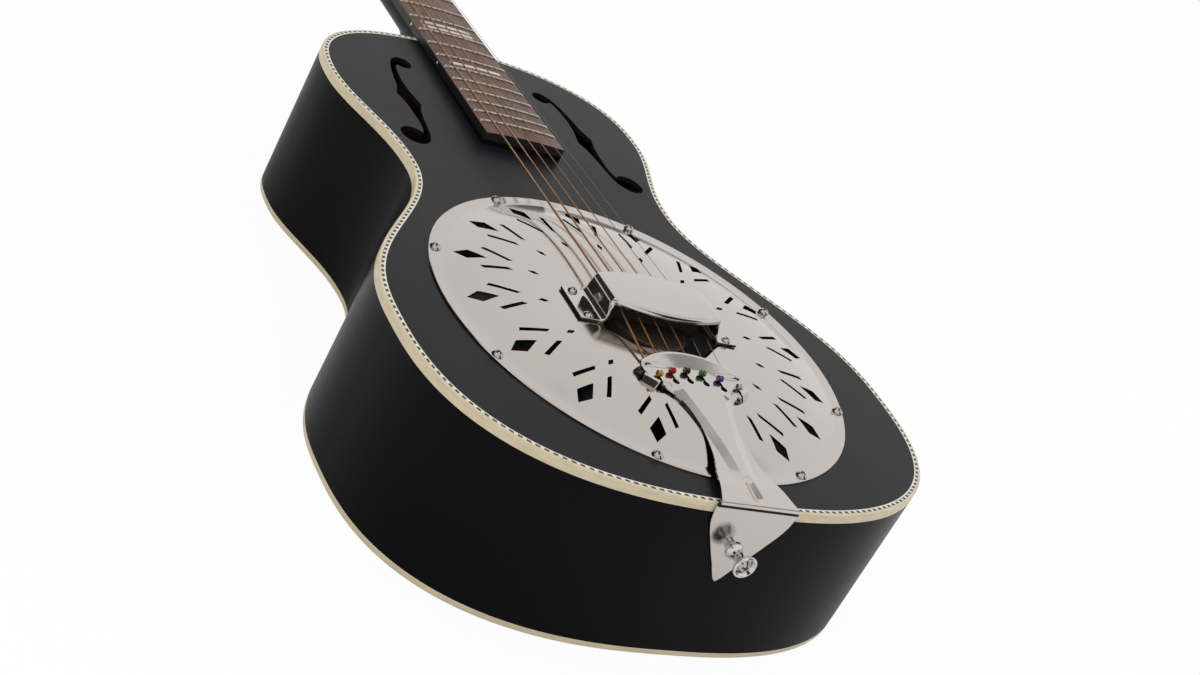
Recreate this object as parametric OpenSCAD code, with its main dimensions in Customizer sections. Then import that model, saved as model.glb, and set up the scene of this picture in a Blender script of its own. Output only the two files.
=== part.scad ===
// Single-cone resonator guitar of parlour size, with twelve frets clear of the body.
// The guitar lies on its back: +Y runs from the tail to the head, +X to the treble side
// and +Z out of the top. The origin is on the back's outer face, straight below the saddle.
// Every size is in millimetres.

/* [Body] */
// Depth over the top and the back
body_depth = 104; // [98:1:112]
// Width across the lower bout
lower_bout_w = 337; // [328:1:350]
// Width across the waist
waist_w = 193; // [185:1:215]
// Width across the upper bout
upper_bout_w = 234; // [226:1:250]
// Distance from the saddle back to the tail
tail_len = 149.5; // [147:0.5:156]
// Distance from the saddle back to the widest line of the lower bout
lower_bout_back = 23; // [15:1:32]
// Distance from the saddle to the waist
waist_y = 144; // [138:1:152]
// Distance from the saddle to the widest line of the upper bout
upper_bout_y = 240; // [232:1:250]
// Roundness of the lower bout, where 2 is an ellipse
lower_round = 2.6; // [2.3:0.1:2.9]
// Roundness of the upper bout, where 2 is an ellipse
upper_round = 2.45; // [2.2:0.05:2.7]
// Distance from the joint fret to the body's end
body_end_gap = 2; // [1:0.5:4]
// Thickness of the top board
top_t = 3.2; // [2.8:0.1:4]
// Thickness of the back board
back_t = 3; // [2.6:0.1:4]
// Thickness of the bent sides
rim_t = 2.8; // [2.4:0.1:3.4]
// Width of the linings that the boards are glued to
lining_w = 6; // [5:0.5:8]
// Height of the linings
lining_h = 12; // [9:1:16]
// Width of the neck block
neck_block_w = 64; // [60:1:72]
// Length of the neck block along the strings
neck_block_len = 32; // [28:1:36]
// Width of the tail block
tail_block_w = 76; // [60:1:90]
// Length of the tail block along the strings
tail_block_len = 30; // [26:1:36]
// Width of a brace
brace_w = 8; // [6:0.5:10]
// Height of a brace
brace_h = 12; // [9:1:15]

/* [Edge trim] */
// Thickness of the binding strips
binding_t = 1.8; // [1.4:0.1:2.1]
// Height of the binding round the top
binding_h = 5.5; // [5:0.5:9]
// Height of the binding round the back
back_binding_h = 4; // [3.5:0.5:6]
// Width of the purfling inside the binding
purfling_w = 2.8; // [2:0.2:3.6]
// Depth of the purfling's channel
purfling_t = 1.4; // [1:0.1:2]

/* [Sound holes] */
// Radius of each sound hole's lower eye
lower_eye_r = 9.5; // [8:0.5:11]
// Radius of each sound hole's upper eye
upper_eye_r = 6.5; // [5.5:0.5:7.5]

/* [Soundwell and cone] */
// Diameter of the cone
cone_d = 241.3; // [236:0.5:243]
// Gap between the cone's edge and the wall of the soundwell
well_gap = 0.8; // [0.4:0.1:1.2]
// Thickness of the soundwell's wall
well_wall = 13; // [11:0.5:14]
// Depth of the soundwell's ledge below the face of the top
ledge_depth = 27; // [24:0.5:30]
// Thickness of the ledge
ledge_t = 8; // [6:0.5:10]
// Width of the ledge
ledge_w = 12; // [10:0.5:14]
// Height of the cone from its flange to its flat apex
cone_rise = 28; // [26:0.5:30]
// Thickness of the spun aluminium
cone_t = 0.8; // [0.6:0.1:1]
// Width of the cone's flange
cone_flange = 7; // [5:0.5:8]
// Radius of the cone's flat apex
apex_r = 27; // [26:0.5:30]
// Radius of the biscuit
biscuit_r = 25; // [22:0.5:25.5]
// Thickness of the biscuit
biscuit_t = 7; // [5:0.5:8]
// Depth of the saddle's slot in the biscuit
saddle_slot = 3; // [2:0.5:4]
// Length of the saddle
saddle_len = 66; // [62:1:70]
// Thickness of the saddle
saddle_t = 3.6; // [3:0.2:5]
// Radius of the biscuit screw's shank
biscuit_screw_r = 1.6; // [1.2:0.1:2]

/* [Coverplate] */
// How far the coverplate reaches past the cone's edge
cover_lap = 9.35; // [8.5:0.05:11]
// Thickness of the coverplate's sheet
cover_t = 1.2; // [0.8:0.1:1.4]
// Width of the flat rim round the dome
cover_rim_w = 9; // [8:0.5:10.5]
// Height of the dome above the flat rim
cover_rise = 9.4; // [8.5:0.1:10]
// Height of the step at the edge of the dome
cover_step = 1.25; // [0.8:0.05:1.6]
// Number of cut-out groups round the dome
petal_count = 16; // [12:1:18]
// Distance from the dome's edge in to the kites' widest line
kite_inset = 12.2; // [11:0.2:14]
// Width of a kite
kite_w = 9.6; // [8:0.2:11]
// Length of a kite's outer point
kite_out = 7.7; // [6:0.1:8.5]
// Length of a kite's inner point
kite_in = 11; // [9:0.5:12]
// Distance from the dome's edge in to the outer end of the slanted slots
slot_out_inset = 20.2; // [19:0.2:23]
// Distance from the dome's edge in to the inner end of the slanted slots
slot_in_inset = 36.6; // [33:0.2:39]
// Distance of a slot's outer end from its kite's line
slot_out_x = 11; // [9.5:0.1:12]
// Distance of a slot's inner end from its kite's line
slot_in_x = 4.5; // [4:0.1:6]
// Width of a slot across its kite's line
slot_w = 2.7; // [2:0.1:3.2]
// Distance from the dome's edge in to the ring of small diamonds
diamond_inset = 50; // [47:0.5:53]
// Length of a diamond
diamond_l = 7.6; // [6:0.2:9]
// Width of a diamond
diamond_w = 3.2; // [2.4:0.1:4]
// Half the width of the opening round the saddle
opening_x = 42; // [41.4:0.2:43]
// Half the length of the opening round the saddle
opening_y = 29; // [27:0.5:31]
// How far the opening's corners are cut back along its width
opening_cut_x = 19; // [16:0.5:21]
// How far the opening's corners are cut back along its length
opening_cut_y = 16; // [12:0.5:16.5]
// Distance from the coverplate's edge in to its screws
cover_screw_inset = 3.7; // [3.4:0.1:4.4]
// Number of coverplate screws
cover_screw_count = 8; // [6:1:10]
// Radius of a coverplate screw's head
cover_head_r = 3.3; // [2.8:0.1:3.5]
// Radius of a coverplate screw's shank
cover_shank_r = 1.5; // [1.2:0.1:1.8]
// Length of a coverplate screw below its head
cover_screw_len = 15; // [12:1:18]

/* [Handrest] */
// Height of the handrest's face above the top board
rest_h = 25.7; // [25:0.1:28]
// Half the length of the handrest across the strings
rest_x = 38.5; // [38:0.25:39.5]
// Thickness of the handrest's sheet
rest_t = 1.5; // [1.2:0.1:1.8]
// Distance from the saddle to the front edge at the ends
rest_front = 11.5; // [10:0.5:12.5]
// Distance from the saddle to the back edge at the ends
rest_back = 14.5; // [13:0.5:15.5]
// Bow of the long edges
rest_bow = 7.5; // [5:0.5:9]
// Depth of the turned-down long edges
rest_lip = 3.2; // [2.6:0.1:3.6]
// Outer radius of the turned-down edges
rest_round = 2.4; // [1.8:0.1:2.6]
// Length of each foot across the strings, beyond the end wall
foot_len = 15.5; // [14:0.5:17]
// Half the width of each foot
foot_y = 14.5; // [14:0.25:16]
// Distance of the foot screws from the saddle's line
foot_screw_y = 11.3; // [10:0.1:11.5]
// Distance of the foot screws from the foot's outer edge
foot_screw_in = 6; // [5:0.5:7.5]
// Radius of a foot screw's head
foot_head_r = 2.9; // [2.4:0.1:3]
// Radius of a foot screw's shank
foot_shank_r = 1.2; // [1:0.1:1.5]

/* [Strings] */
// Length of the strings from the saddle to the nut
scale_len = 645; // [640:1:655]
// Height of the strings above the top board at the saddle
string_rise = 18; // [17:0.25:19]
// Distance between the outer strings at the saddle
saddle_spread = 54; // [50:0.5:57]
// Distance between the outer strings at the nut
nut_spread = 37; // [34:0.5:38]
// Distance between the outer strings at the tailpiece
ball_spread = 54.5; // [52:0.5:56]
// Diameter of a ball end
ball_d = 4; // [3.6:0.1:4.2]
// Length of a ball end
ball_len = 3.8; // [3.4:0.1:4.2]
// Turns of string on each post
wrap_turns = 2.25; // [1.25:1:3.25]

/* [Tailpiece] */
// Thickness of the tailpiece's sheet
tail_t = 1.5; // [1.2:0.1:1.8]
// Distance from the saddle to the middle of the head's front edge
tail_head_y = 40; // [38:0.5:42]
// Radius of the head's front edge
tail_head_r = 54; // [48:1:60]
// Half the width of the head
tail_head_x = 34.5; // [33.5:0.5:36]
// Height of the head's upper face above the top board
tail_head_z = 13.8; // [13.7:0.1:14.6]
// Radius of the bead along the head's front edge
tail_bead_r = 1.6; // [1.2:0.1:1.8]
// Distance from the head's front edge back to the ball ends
ball_setback = 15; // [14:0.5:17]
// Length of each keyhole slot behind its ball
keyhole_len = 8; // [6:0.5:8.5]
// Half the width of the stem at its narrowest
stem_x = 12.5; // [11:0.5:14]
// Distance from the saddle to the stem's narrowest line
stem_y = 104; // [98:1:108]
// Half the width of the fold over the body's edge
fold_x = 25.5; // [24:0.5:27]
// Thickness of the tail bracket's sheet
bracket_t = 1.5; // [1.2:0.1:1.8]
// Length of the tail bracket down the tail
bracket_len = 49; // [44:1:54]
// Gap between the bracket's flange on the top and the coverplate
flange_gap = 3; // [2:0.5:6]

/* [Strap button] */
// Depth of the strap button below the top board's face
button_drop = 27; // [24:0.5:30]
// Length of the strap button
strap_len = 14; // [12:0.5:16]
// Radius of the strap button's waist
strap_waist_r = 3; // [2.8:0.1:3.6]
// Radius of the strap button's flared end
strap_flare_r = 7; // [6:0.25:8]
// Radius of the strap button screw's shank
strap_shank_r = 2; // [1.6:0.1:2.2]

/* [Neck] */
// Fret at which the neck meets the body
joint_fret = 12; // [12:1:12]
// Width of the neck at the nut
nut_w = 44.5; // [43:0.25:46]
// Width of the fretboard at the last fret
board_end_w = 57.5; // [55:0.25:59]
// Thickness of the fretboard
board_t = 6; // [5:0.25:7]
// Height of the fretboard's face above the top board at the body's end
board_rise = 6.3; // [6.2:0.05:7]
// Radius of the fretboard's curved face
board_r = 400; // [300:10:500]
// Angle by which the neck leans back
neck_angle = 1.28; // [1.1:0.01:1.4]
// Distance from the saddle to the fretboard's end
board_end_y = 188; // [186:0.5:195]
// Depth of the neck under the fretboard at the nut
neck_depth_nut = 15; // [14:0.5:17]
// Depth of the neck under the fretboard at the body
neck_depth_body = 18; // [16:0.5:20]
// Length of the heel along the neck
heel_len = 62; // [50:1:70]
// Width of the heel's foot
heel_foot_w = 20; // [16:1:26]
// Height of the heel's foot above the back
heel_foot_z = 5; // [4.5:0.5:12]
// Width of the tenon in the neck block
tenon_w = 38; // [30:1:44]
// Length of the tenon
tenon_len = 22; // [18:1:26]
// Number of frets
fret_count = 20; // [18:1:20]
// Width of a fret's crown
fret_w = 2.3; // [1.8:0.1:2.8]
// Height of a fret's crown
fret_h = 1.1; // [0.8:0.1:1.4]
// Width of a fret's tang
tang_w = 0.6; // [0.5:0.05:0.8]
// Depth of a fret's tang
tang_h = 1.6; // [1.2:0.1:2]
// Width of an inlaid bar
bar_w = 3.4; // [2.6:0.1:4]
// Length of an inlaid bar
bar_len = 39; // [32:1:40]
// Radius of a side dot
side_dot_r = 1.1; // [0.8:0.1:1.4]
// Length of the nut along the strings
nut_t = 5; // [4:0.5:6]
// Height of the strings' lower side above the fretboard at the nut
nut_action = 1.5; // [1.4:0.1:2]
// Radius of the truss rod
rod_r = 2.8; // [2.4:0.1:3]

/* [Headstock] */
// Angle by which the headstock leans back from the neck
head_angle = 14; // [11:0.5:16]
// Thickness of the headstock with its face
head_t = 15; // [14:0.5:17]
// Thickness of the face veneer
face_t = 1.5; // [1:0.1:2]
// Length of the headstock
head_len = 152; // [148:1:165]
// Half the width of the headstock at its shoulders
head_shoulder_x = 31; // [30:0.25:33]
// Half the width of the headstock near its end
head_end_x = 34; // [32:0.25:36]
// Length of the truss rod cover
cover_plate_len = 27; // [24:1:28]
// Thickness of the truss rod cover
cover_plate_t = 1.5; // [1:0.1:2]

/* [Tuning machines] */
// Distance from the headstock's middle to the line of posts
post_x = 20; // [19:0.25:21]
// Distance from the nut to the first post
first_post = 38; // [36:0.5:40]
// Distance between neighbouring posts
post_pitch = 35; // [34:0.5:37]
// Radius of a string post
post_r = 3; // [2.6:0.1:3.2]
// Height of a string post above the headstock's face
post_rise = 16; // [14:0.5:18]
// Running clearance between a shaft and its hole
running_gap = 0.05; // [0.03:0.01:0.08]
// Outer radius of a bushing's barrel
bushing_r = 4.5; // [4:0.1:5]
// Radius of a bushing's flange
bushing_flange_r = 5.6; // [5.2:0.1:6.2]
// Thickness of a bushing's flange
bushing_flange_t = 1.2; // [0.8:0.1:1.6]
// Number of teeth on a gear
gear_teeth = 16; // [16:1:16]
// Pitch radius of a gear
gear_pitch_r = 6.05; // [5.8:0.05:6.4]
// Thickness of a gear
gear_t = 3.2; // [2.6:0.1:3.4]
// Pitch radius of a worm
worm_pitch_r = 2.6; // [2.5:0.05:2.8]
// Depth of thread on each side of the pitch line
tooth_half = 0.6; // [0.5:0.05:0.65]
// Backlash between a thread and a tooth, on each side
backlash = 0.2; // [0.16:0.01:0.24]
// Radius of a worm's shaft
shaft_r = 1.6; // [1.4:0.05:1.7]
// Half the distance between the two ears of a bearing
ear_gap = 5.7; // [5.5:0.1:6]
// Thickness of an ear
ear_t = 1.4; // [1.2:0.1:1.6]
// Thickness of the tuner plates
plate_t = 1.2; // [1:0.1:1.6]
// Distance from a plate's back to the middle of its gears
gear_drop = 3.7; // [3.6:0.1:4.2]
// Length of a tuning button
button_len = 17; // [14:0.5:19]
// Half the width of a tuning button
button_half_w = 9; // [7:0.25:10]
// Half the thickness of a tuning button
button_half_t = 4; // [3.4:0.1:4.6]

/* [Hidden] */
$fn = 96;

// A hair, for cutters that run past a face
eps = 0.5;
// Gap of a piece that drops into its seat
seat_gap = 0.1;

top_z = body_depth;
top_under = body_depth - top_t;

// ---- Shared curves ------------------------------------------------------------------

// Points of a smooth open curve through the given points, with its ends kept
function spline_point(p, i, t) =
    let (a = p[max(i - 1, 0)], b = p[i], c = p[i + 1], d = p[min(i + 2, len(p) - 1)])
    0.5 * (2 * b + (c - a) * t + (2 * a - 5 * b + 4 * c - d) * t * t
           + (3 * b - a - 3 * c + d) * t * t * t);
function smooth(p, steps = 4) =
    [for (i = [0 : len(p) - 2]) for (k = [0 : steps - 1]) spline_point(p, i, k / steps),
     p[len(p) - 1]];

// A half outline and its mirror image, joined into one closed outline
function reversed(p) = [for (i = [len(p) - 1 : -1 : 0]) p[i]];
function mirrored(p) = concat(p, [for (q = reversed(p)) if (abs(q[0]) > 0.001) [-q[0], q[1]]]);

// A solid through a list of rings that all have the same number of points. The rings run
// clockwise as seen from the first of them towards the last.
module loft(rings) {
    n = len(rings[0]);
    last = len(rings) - 1;
    sides = [for (i = [0 : last - 1]) for (k = [0 : n - 1])
             let (a = i * n + k, b = i * n + (k + 1) % n)
             each [[b, a, b + n], [b + n, a, a + n]]];
    near = [for (k = [0 : n - 1]) k];
    far = [for (k = [n - 1 : -1 : 0]) last * n + k];
    polyhedron([for (ring = rings) each ring], concat([near], sides, [far]));
}

// A round tube swept along a line of points
function unit(v) = v / norm(v);
function tube_ring(p, i, r, sides) =
    let (last = len(p) - 1,
         into = unit(p[max(i, 1)] - p[max(i, 1) - 1]),
         away = unit(p[min(i + 1, last)] - p[min(i + 1, last) - 1]),
         along = unit(into + away),
         side = unit(cross(along, [0, 0, 1])),
         up = cross(side, along))
    [for (k = [0 : sides - 1]) let (a = -360 * k / sides) p[i] + r * (cos(a) * side + sin(a) * up)];
module tube(p, r, sides = 8) {
    loft([for (i = [0 : len(p) - 1]) tube_ring(p, i, r, sides)]);
}

// ---- Body outline -------------------------------------------------------------------

function fret_y(n) = scale_len / pow(2, n / 12);
body_end = fret_y(joint_fret) - body_end_gap;

function bout(half, reach, power, t) =
    [half * pow(sin(t), 2 / power), reach * pow(cos(t), 2 / power)];
function ease(t) = (1 - cos(180 * t)) / 2;

tail_curve = [for (i = [0 : 16])
    let (p = bout(lower_bout_w / 2, tail_len - lower_bout_back, lower_round, 90 * i / 16))
    [p[0], -lower_bout_back - p[1]]];
waist_in = [for (i = [1 : 12]) let (t = i / 12)
    [lower_bout_w / 2 + (waist_w - lower_bout_w) / 2 * ease(pow(t, 1.2)),
     -lower_bout_back + (waist_y + lower_bout_back) * t]];
waist_out = [for (i = [1 : 8]) let (t = i / 8)
    [waist_w / 2 + (upper_bout_w - waist_w) / 2 * ease(pow(t, 1.1)),
     waist_y + (upper_bout_y - waist_y) * t]];
neck_curve = [for (i = [1 : 14])
    let (p = bout(upper_bout_w / 2, body_end - upper_bout_y, upper_round, 90 - 90 * i / 14))
    [i == 14 ? 0 : p[0], upper_bout_y + p[1]]];
body_points = mirrored(concat(tail_curve, waist_in, waist_out, neck_curve));

// The body's outline, moved inwards by a distance
function outline(inset) =
    let (p = body_points, n = len(p))
    [for (i = [0 : n - 1])
        let (d = unit(p[(i + 1) % n] - p[(i + n - 1) % n]))
        p[i] - inset * [d[1], -d[0]]];

module body_slab(inset, z0, z1) {
    translate([0, 0, z0]) linear_extrude(z1 - z0) polygon(outline(inset));
}
module body_ring(outer, inner, z0, z1) {
    translate([0, 0, z0]) linear_extrude(z1 - z0) difference() {
        polygon(outline(outer));
        polygon(outline(inner));
    }
}
module box(x0, x1, y0, y1, z0, z1) {
    translate([x0, y0, z0]) cube([x1 - x0, y1 - y0, z1 - z0]);
}

// ---- Places that several pieces share -----------------------------------------------

well_in = cone_d / 2 + well_gap;
well_out = well_in + well_wall;
ledge_z = top_z - ledge_depth;
well_bottom = ledge_z - ledge_t;
apex_z = ledge_z + cone_rise;
biscuit_z = apex_z + biscuit_t;
cover_r = cone_d / 2 + cover_lap;
cover_flat_r = cover_r - cover_rim_w;
cover_screw_circle = cover_r - cover_screw_inset;
kite_r = cover_flat_r - kite_inset;
slot_out_r = cover_flat_r - slot_out_inset;
slot_in_r = cover_flat_r - slot_in_inset;
diamond_r = cover_flat_r - diamond_inset;

// Upper face of the coverplate's dome at a radius
function dome_z(r) = top_z + cover_t + cover_step
    + (cover_rise - cover_step) * (1 - pow(r / cover_flat_r, 4));
foot_z = dome_z(rest_x) + 0.03;

joint_z = top_z + board_rise - board_t;
nut_ly = (scale_len - body_end) / cos(neck_angle);
head_ly = nut_ly + nut_t;
function turn_x(p, a) = [p[0], p[1] * cos(a) - p[2] * sin(a), p[1] * sin(a) + p[2] * cos(a)];
function neck_point(p) = turn_x(p, -neck_angle) + [0, body_end, joint_z];
function head_point(p) = neck_point(turn_x(p, -head_angle) + [0, head_ly, 0]);
module on_neck() translate([0, body_end, joint_z]) rotate([-neck_angle, 0, 0]) children();
module on_head() on_neck() translate([0, head_ly, 0]) rotate([-head_angle, 0, 0]) children();

// Distance along the neck from the body's end to a fret
function fret_ly(n) = (fret_y(n) - body_end) / cos(neck_angle);
board_end_ly = (board_end_y - body_end) / cos(neck_angle);
function board_half(ly) =
    (nut_w + (board_end_w - nut_w) * (nut_ly - ly) / (nut_ly - fret_ly(fret_count))) / 2;

// String gauges from the sixth string to the first
string_d = [1.35, 1.07, 0.81, 0.61, 0.41, 0.3];
wound_count = 4;
function string_x(i, spread) = spread * (i / 5 - 0.5);

// Tailpiece places: the head is flat, and the stem slopes down to the fold
tail_under = top_z + tail_head_z - tail_t;
head_centre_y = -tail_head_y - tail_head_r;
function head_arc_y(x, inset = 0) = head_centre_y + sqrt(pow(tail_head_r - inset, 2) - x * x);
stem_start_y = -tail_head_y - 26;
fold_y = -tail_len - bracket_t;
hinge_gap = 0.2;
stem_rise = bracket_t + hinge_gap;
hook_drop = 0.5;
function ball_y(i) = head_arc_y(string_x(i, ball_spread), 0) - ball_setback;
ball_z = top_z + tail_head_z + ball_d / 2;

// Tuning machines: +1 is the treble side and -1 the bass side
function machine_side(n) = n <= 3 ? -1 : 1;
function machine_row(n) = n <= 3 ? n - 1 : n - 4;
function post_y(n) = first_post + post_pitch * machine_row(n);
gear_z = -head_t - plate_t - gear_drop;
worm_y = -gear_pitch_r - worm_pitch_r;
worm_pitch = 2 * PI * gear_pitch_r / gear_teeth;
worm_lead = atan(worm_pitch / (2 * PI * worm_pitch_r));
worm_core_r = worm_pitch_r - tooth_half;
worm_tip_r = worm_pitch_r + tooth_half;
gear_tip_r = gear_pitch_r + tooth_half - 0.05;
gear_root_r = gear_pitch_r - tooth_half - 0.15;
post_foot_r = post_r - 0.8;
waist_post_r = post_r - 0.4;
head_edge_x = head_shoulder_x + 1.5;
module at_machine(n) {
    on_head() translate([machine_side(n) * post_x, post_y(n), 0])
        scale_side(machine_side(n)) children();
}
module scale_side(side) {
    if (side > 0) children();
    else mirror([1, 0, 0]) children();
}

// ---- Wooden body --------------------------------------------------------------------

// One sound hole on the treble side: two eyes joined by a stem with two nicks
lower_eye = [80, 178.5];
upper_eye = [53.5, 275];
stem_outer = [[56, 281], [61, 276.5], [65, 267], [68, 253], [70, 240]];
stem_outer_low = [[71, 219], [70, 205], [69.8, 193], [72, 184]];
stem_inner_low = [[74, 171.5], [70, 175.5], [67, 185], [65.3, 198], [63, 212]];
stem_inner = [[62.5, 236], [63.2, 248], [62.5, 258], [60.5, 268], [57, 272]];
outer_nick = [74, 230];
inner_nick = [59.5, 221.5];
module sound_hole() {
    translate(lower_eye) circle(lower_eye_r);
    translate(upper_eye) circle(upper_eye_r);
    polygon(concat(smooth(stem_outer), [outer_nick], smooth(stem_outer_low),
                   smooth(stem_inner_low), [inner_nick], smooth(stem_inner)));
}
module cover_screw_places() {
    for (i = [0 : cover_screw_count - 1])
        rotate((i + 0.5) * 360 / cover_screw_count) translate([cover_screw_circle, 0, 0]) children();
}

module top_board() {
    color([0.08, 0.08, 0.085]) difference() {
        body_slab(binding_t, top_under, top_z);
        body_ring(binding_t - eps, binding_t + purfling_w, top_z - purfling_t, top_z + eps);
        translate([0, 0, top_under - eps]) linear_extrude(top_t + 2 * eps) {
            circle(well_in);
            sound_hole();
            mirror([1, 0]) sound_hole();
        }
        cover_screw_places() translate([0, 0, top_under - eps])
            cylinder(r = cover_shank_r + seat_gap, h = top_t + 2 * eps, $fn = 24);
    }
}
module back_board() {
    color([0.08, 0.08, 0.085]) body_slab(binding_t, 0, back_t);
}
module tenon(gap) {
    box(-tenon_w / 2 - gap, tenon_w / 2 + gap, body_end - tenon_len - gap, body_end + eps,
        back_t + 14 - gap, top_under);
}
module strap_screw_hole(r, y0, y1) {
    translate([0, y0, top_z - button_drop]) rotate([-90, 0, 0])
        cylinder(r = r, h = y1 - y0, $fn = 48);
}
module rim() {
    color([0.08, 0.08, 0.085]) difference() {
        body_ring(0, rim_t, back_t, top_under);
        body_ring(-eps, binding_t, top_z - binding_h, top_z);
        body_ring(-eps, binding_t, 0, back_binding_h);
        tenon(seat_gap);
        strap_screw_hole(strap_shank_r + seat_gap, -tail_len - eps, -tail_len + rim_t + eps);
    }
}
module neck_block_slab(gap) {
    box(-neck_block_w / 2 - gap, neck_block_w / 2 + gap, body_end - neck_block_len - gap,
        body_end, back_t - gap, top_under + gap);
}
module tail_block_slab(gap) {
    box(-tail_block_w / 2 - gap, tail_block_w / 2 + gap, -tail_len,
        -tail_len + tail_block_len + gap, back_t - gap, top_under + gap);
}
// Room for the soundwell in the wood round it
module well_room() {
    translate([0, 0, well_bottom - seat_gap]) cylinder(r = well_out + seat_gap, h = body_depth);
}
module linings() {
    color([0.72, 0.55, 0.36]) difference() {
        union() {
            body_ring(rim_t, rim_t + lining_w, top_under - lining_h, top_under);
            body_ring(rim_t, rim_t + lining_w, back_t, back_t + lining_h);
        }
        neck_block_slab(seat_gap);
        tail_block_slab(seat_gap);
        well_room();
    }
}
module end_blocks() {
    color([0.66, 0.48, 0.3]) {
        difference() {
            intersection() {
                body_slab(rim_t, back_t, top_under);
                neck_block_slab(0);
            }
            tenon(seat_gap);
        }
        difference() {
            intersection() {
                body_slab(rim_t, back_t, top_under);
                tail_block_slab(0);
            }
            well_room();
            strap_screw_hole(strap_shank_r + running_gap, -tail_len,
                             -tail_len + rim_t + strap_grip + eps);
        }
    }
}
module back_brace(y) {
    intersection() {
        body_slab(rim_t + lining_w, back_t, back_t + brace_h);
        box(-lower_bout_w / 2, lower_bout_w / 2, y - brace_w / 2, y + brace_w / 2,
            back_t, back_t + brace_h);
    }
}
waist_brace_y = well_out + 4 + brace_w / 2;
module braces() {
    color([0.78, 0.62, 0.42]) {
        back_brace(-lower_bout_back - 42);
        back_brace(waist_y / 2 - 10);
        back_brace(upper_bout_y - 40);
        intersection() {
            body_slab(rim_t + lining_w, top_under - brace_h, top_under);
            box(-waist_w / 2, waist_w / 2, waist_brace_y - brace_w / 2, waist_brace_y + brace_w / 2,
                top_under - brace_h, top_under);
        }
        for (s = [-1, 1]) translate([s * (board_end_w / 2 + brace_w / 2), 0, 0])
            box(-brace_w / 2, brace_w / 2, waist_brace_y + brace_w / 2 + seat_gap,
                body_end - neck_block_len - seat_gap, top_under - brace_h, top_under);
    }
}
module soundwell() {
    color([0.7, 0.54, 0.36]) difference() {
        intersection() {
            rotate_extrude() polygon([
                [well_in - ledge_w, well_bottom], [well_out, well_bottom], [well_out, top_under],
                [well_in, top_under], [well_in, ledge_z], [well_in - ledge_w, ledge_z]]);
            body_slab(rim_t + seat_gap, well_bottom - eps, top_z);
        }
        cover_screw_places() translate([0, 0, top_z + cover_t - cover_screw_len - eps])
            cylinder(r = cover_shank_r + running_gap, h = cover_screw_len, $fn = 24);
    }
}
module bindings() {
    color([0.93, 0.9, 0.78]) {
        difference() {
            body_ring(0, binding_t, top_z - binding_h, top_z);
            tenon(seat_gap);
        }
        body_ring(0, binding_t, 0, back_binding_h);
    }
}
module purfling() {
    color([0.5, 0.48, 0.42]) body_ring(binding_t, binding_t + purfling_w, top_z - purfling_t, top_z);
}

// ---- Cone and bridge ----------------------------------------------------------------

cone_slope_r = cone_d / 2 - cone_flange;
cone_bead = 2.4;
cone_line = [[cone_d / 2, 0], [cone_slope_r, 0], [cone_slope_r - 3, cone_bead],
    [cone_slope_r - 7, cone_bead], [cone_slope_r - 10, 1.6],
    [(cone_slope_r + apex_r) / 2, 0.5 * cone_rise + 0.6], [apex_r + 3, cone_rise - cone_t - 0.6],
    [apex_r, cone_rise - cone_t], [biscuit_screw_r + seat_gap, cone_rise - cone_t]];
module cone() {
    color([0.8, 0.81, 0.82]) translate([0, 0, ledge_z]) rotate_extrude()
        polygon(concat(cone_line, [for (p = reversed(cone_line)) p + [0, cone_t]]));
}
module saddle_slot_box(gap, height) {
    box(-saddle_len / 2 - gap, saddle_len / 2 + gap, -saddle_t / 2 - gap, saddle_t / 2 + gap,
        biscuit_z - saddle_slot, biscuit_z - saddle_slot + height);
}
biscuit_screw_len = biscuit_t - saddle_slot - 0.5;
module biscuit() {
    color([0.16, 0.12, 0.09]) difference() {
        translate([0, 0, apex_z]) rotate_extrude() polygon([[0, 0], [biscuit_r, 0],
            [biscuit_r, biscuit_t - 1], [biscuit_r - 1, biscuit_t], [0, biscuit_t]]);
        saddle_slot_box(0.05, saddle_slot + eps);
        translate([0, 0, apex_z - eps]) cylinder(r = biscuit_screw_r + running_gap,
                                                 h = biscuit_screw_len + eps + 0.2, $fn = 48);
    }
}
saddle_crest = top_z + string_rise + 0.2;
// Play of a string in its slots
slot_play = 0.04;
module saddle() {
    color([0.18, 0.13, 0.1]) difference() {
        rotate([0, 0, 90]) translate([0, -saddle_len / 2, 0]) rotate([-90, 0, 0])
            linear_extrude(saddle_len) polygon([
                [-saddle_t / 2, -(biscuit_z - saddle_slot)], [saddle_t / 2, -(biscuit_z - saddle_slot)],
                [saddle_t / 2, -(saddle_crest - 3)], [0.7, -saddle_crest], [-0.7, -saddle_crest],
                [-saddle_t / 2, -(saddle_crest - 3)]]);
        for (i = [0 : 5]) translate([string_x(i, saddle_spread), 0, top_z + string_rise])
            rotate([90, 0, 0])
                cylinder(r = string_d[i] / 2 + slot_play, h = 2 * saddle_t, center = true, $fn = 24);
    }
}
module biscuit_screw() {
    color([0.75, 0.74, 0.7]) translate([0, 0, apex_z]) {
        translate([0, 0, -cone_t - 1.8]) cylinder(r = 3.6, h = 1.8, $fn = 48);
        translate([0, 0, -cone_t])
            cylinder(r = biscuit_screw_r, h = cone_t + biscuit_screw_len, $fn = 48);
    }
}

// ---- Coverplate and handrest --------------------------------------------------------

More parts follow.
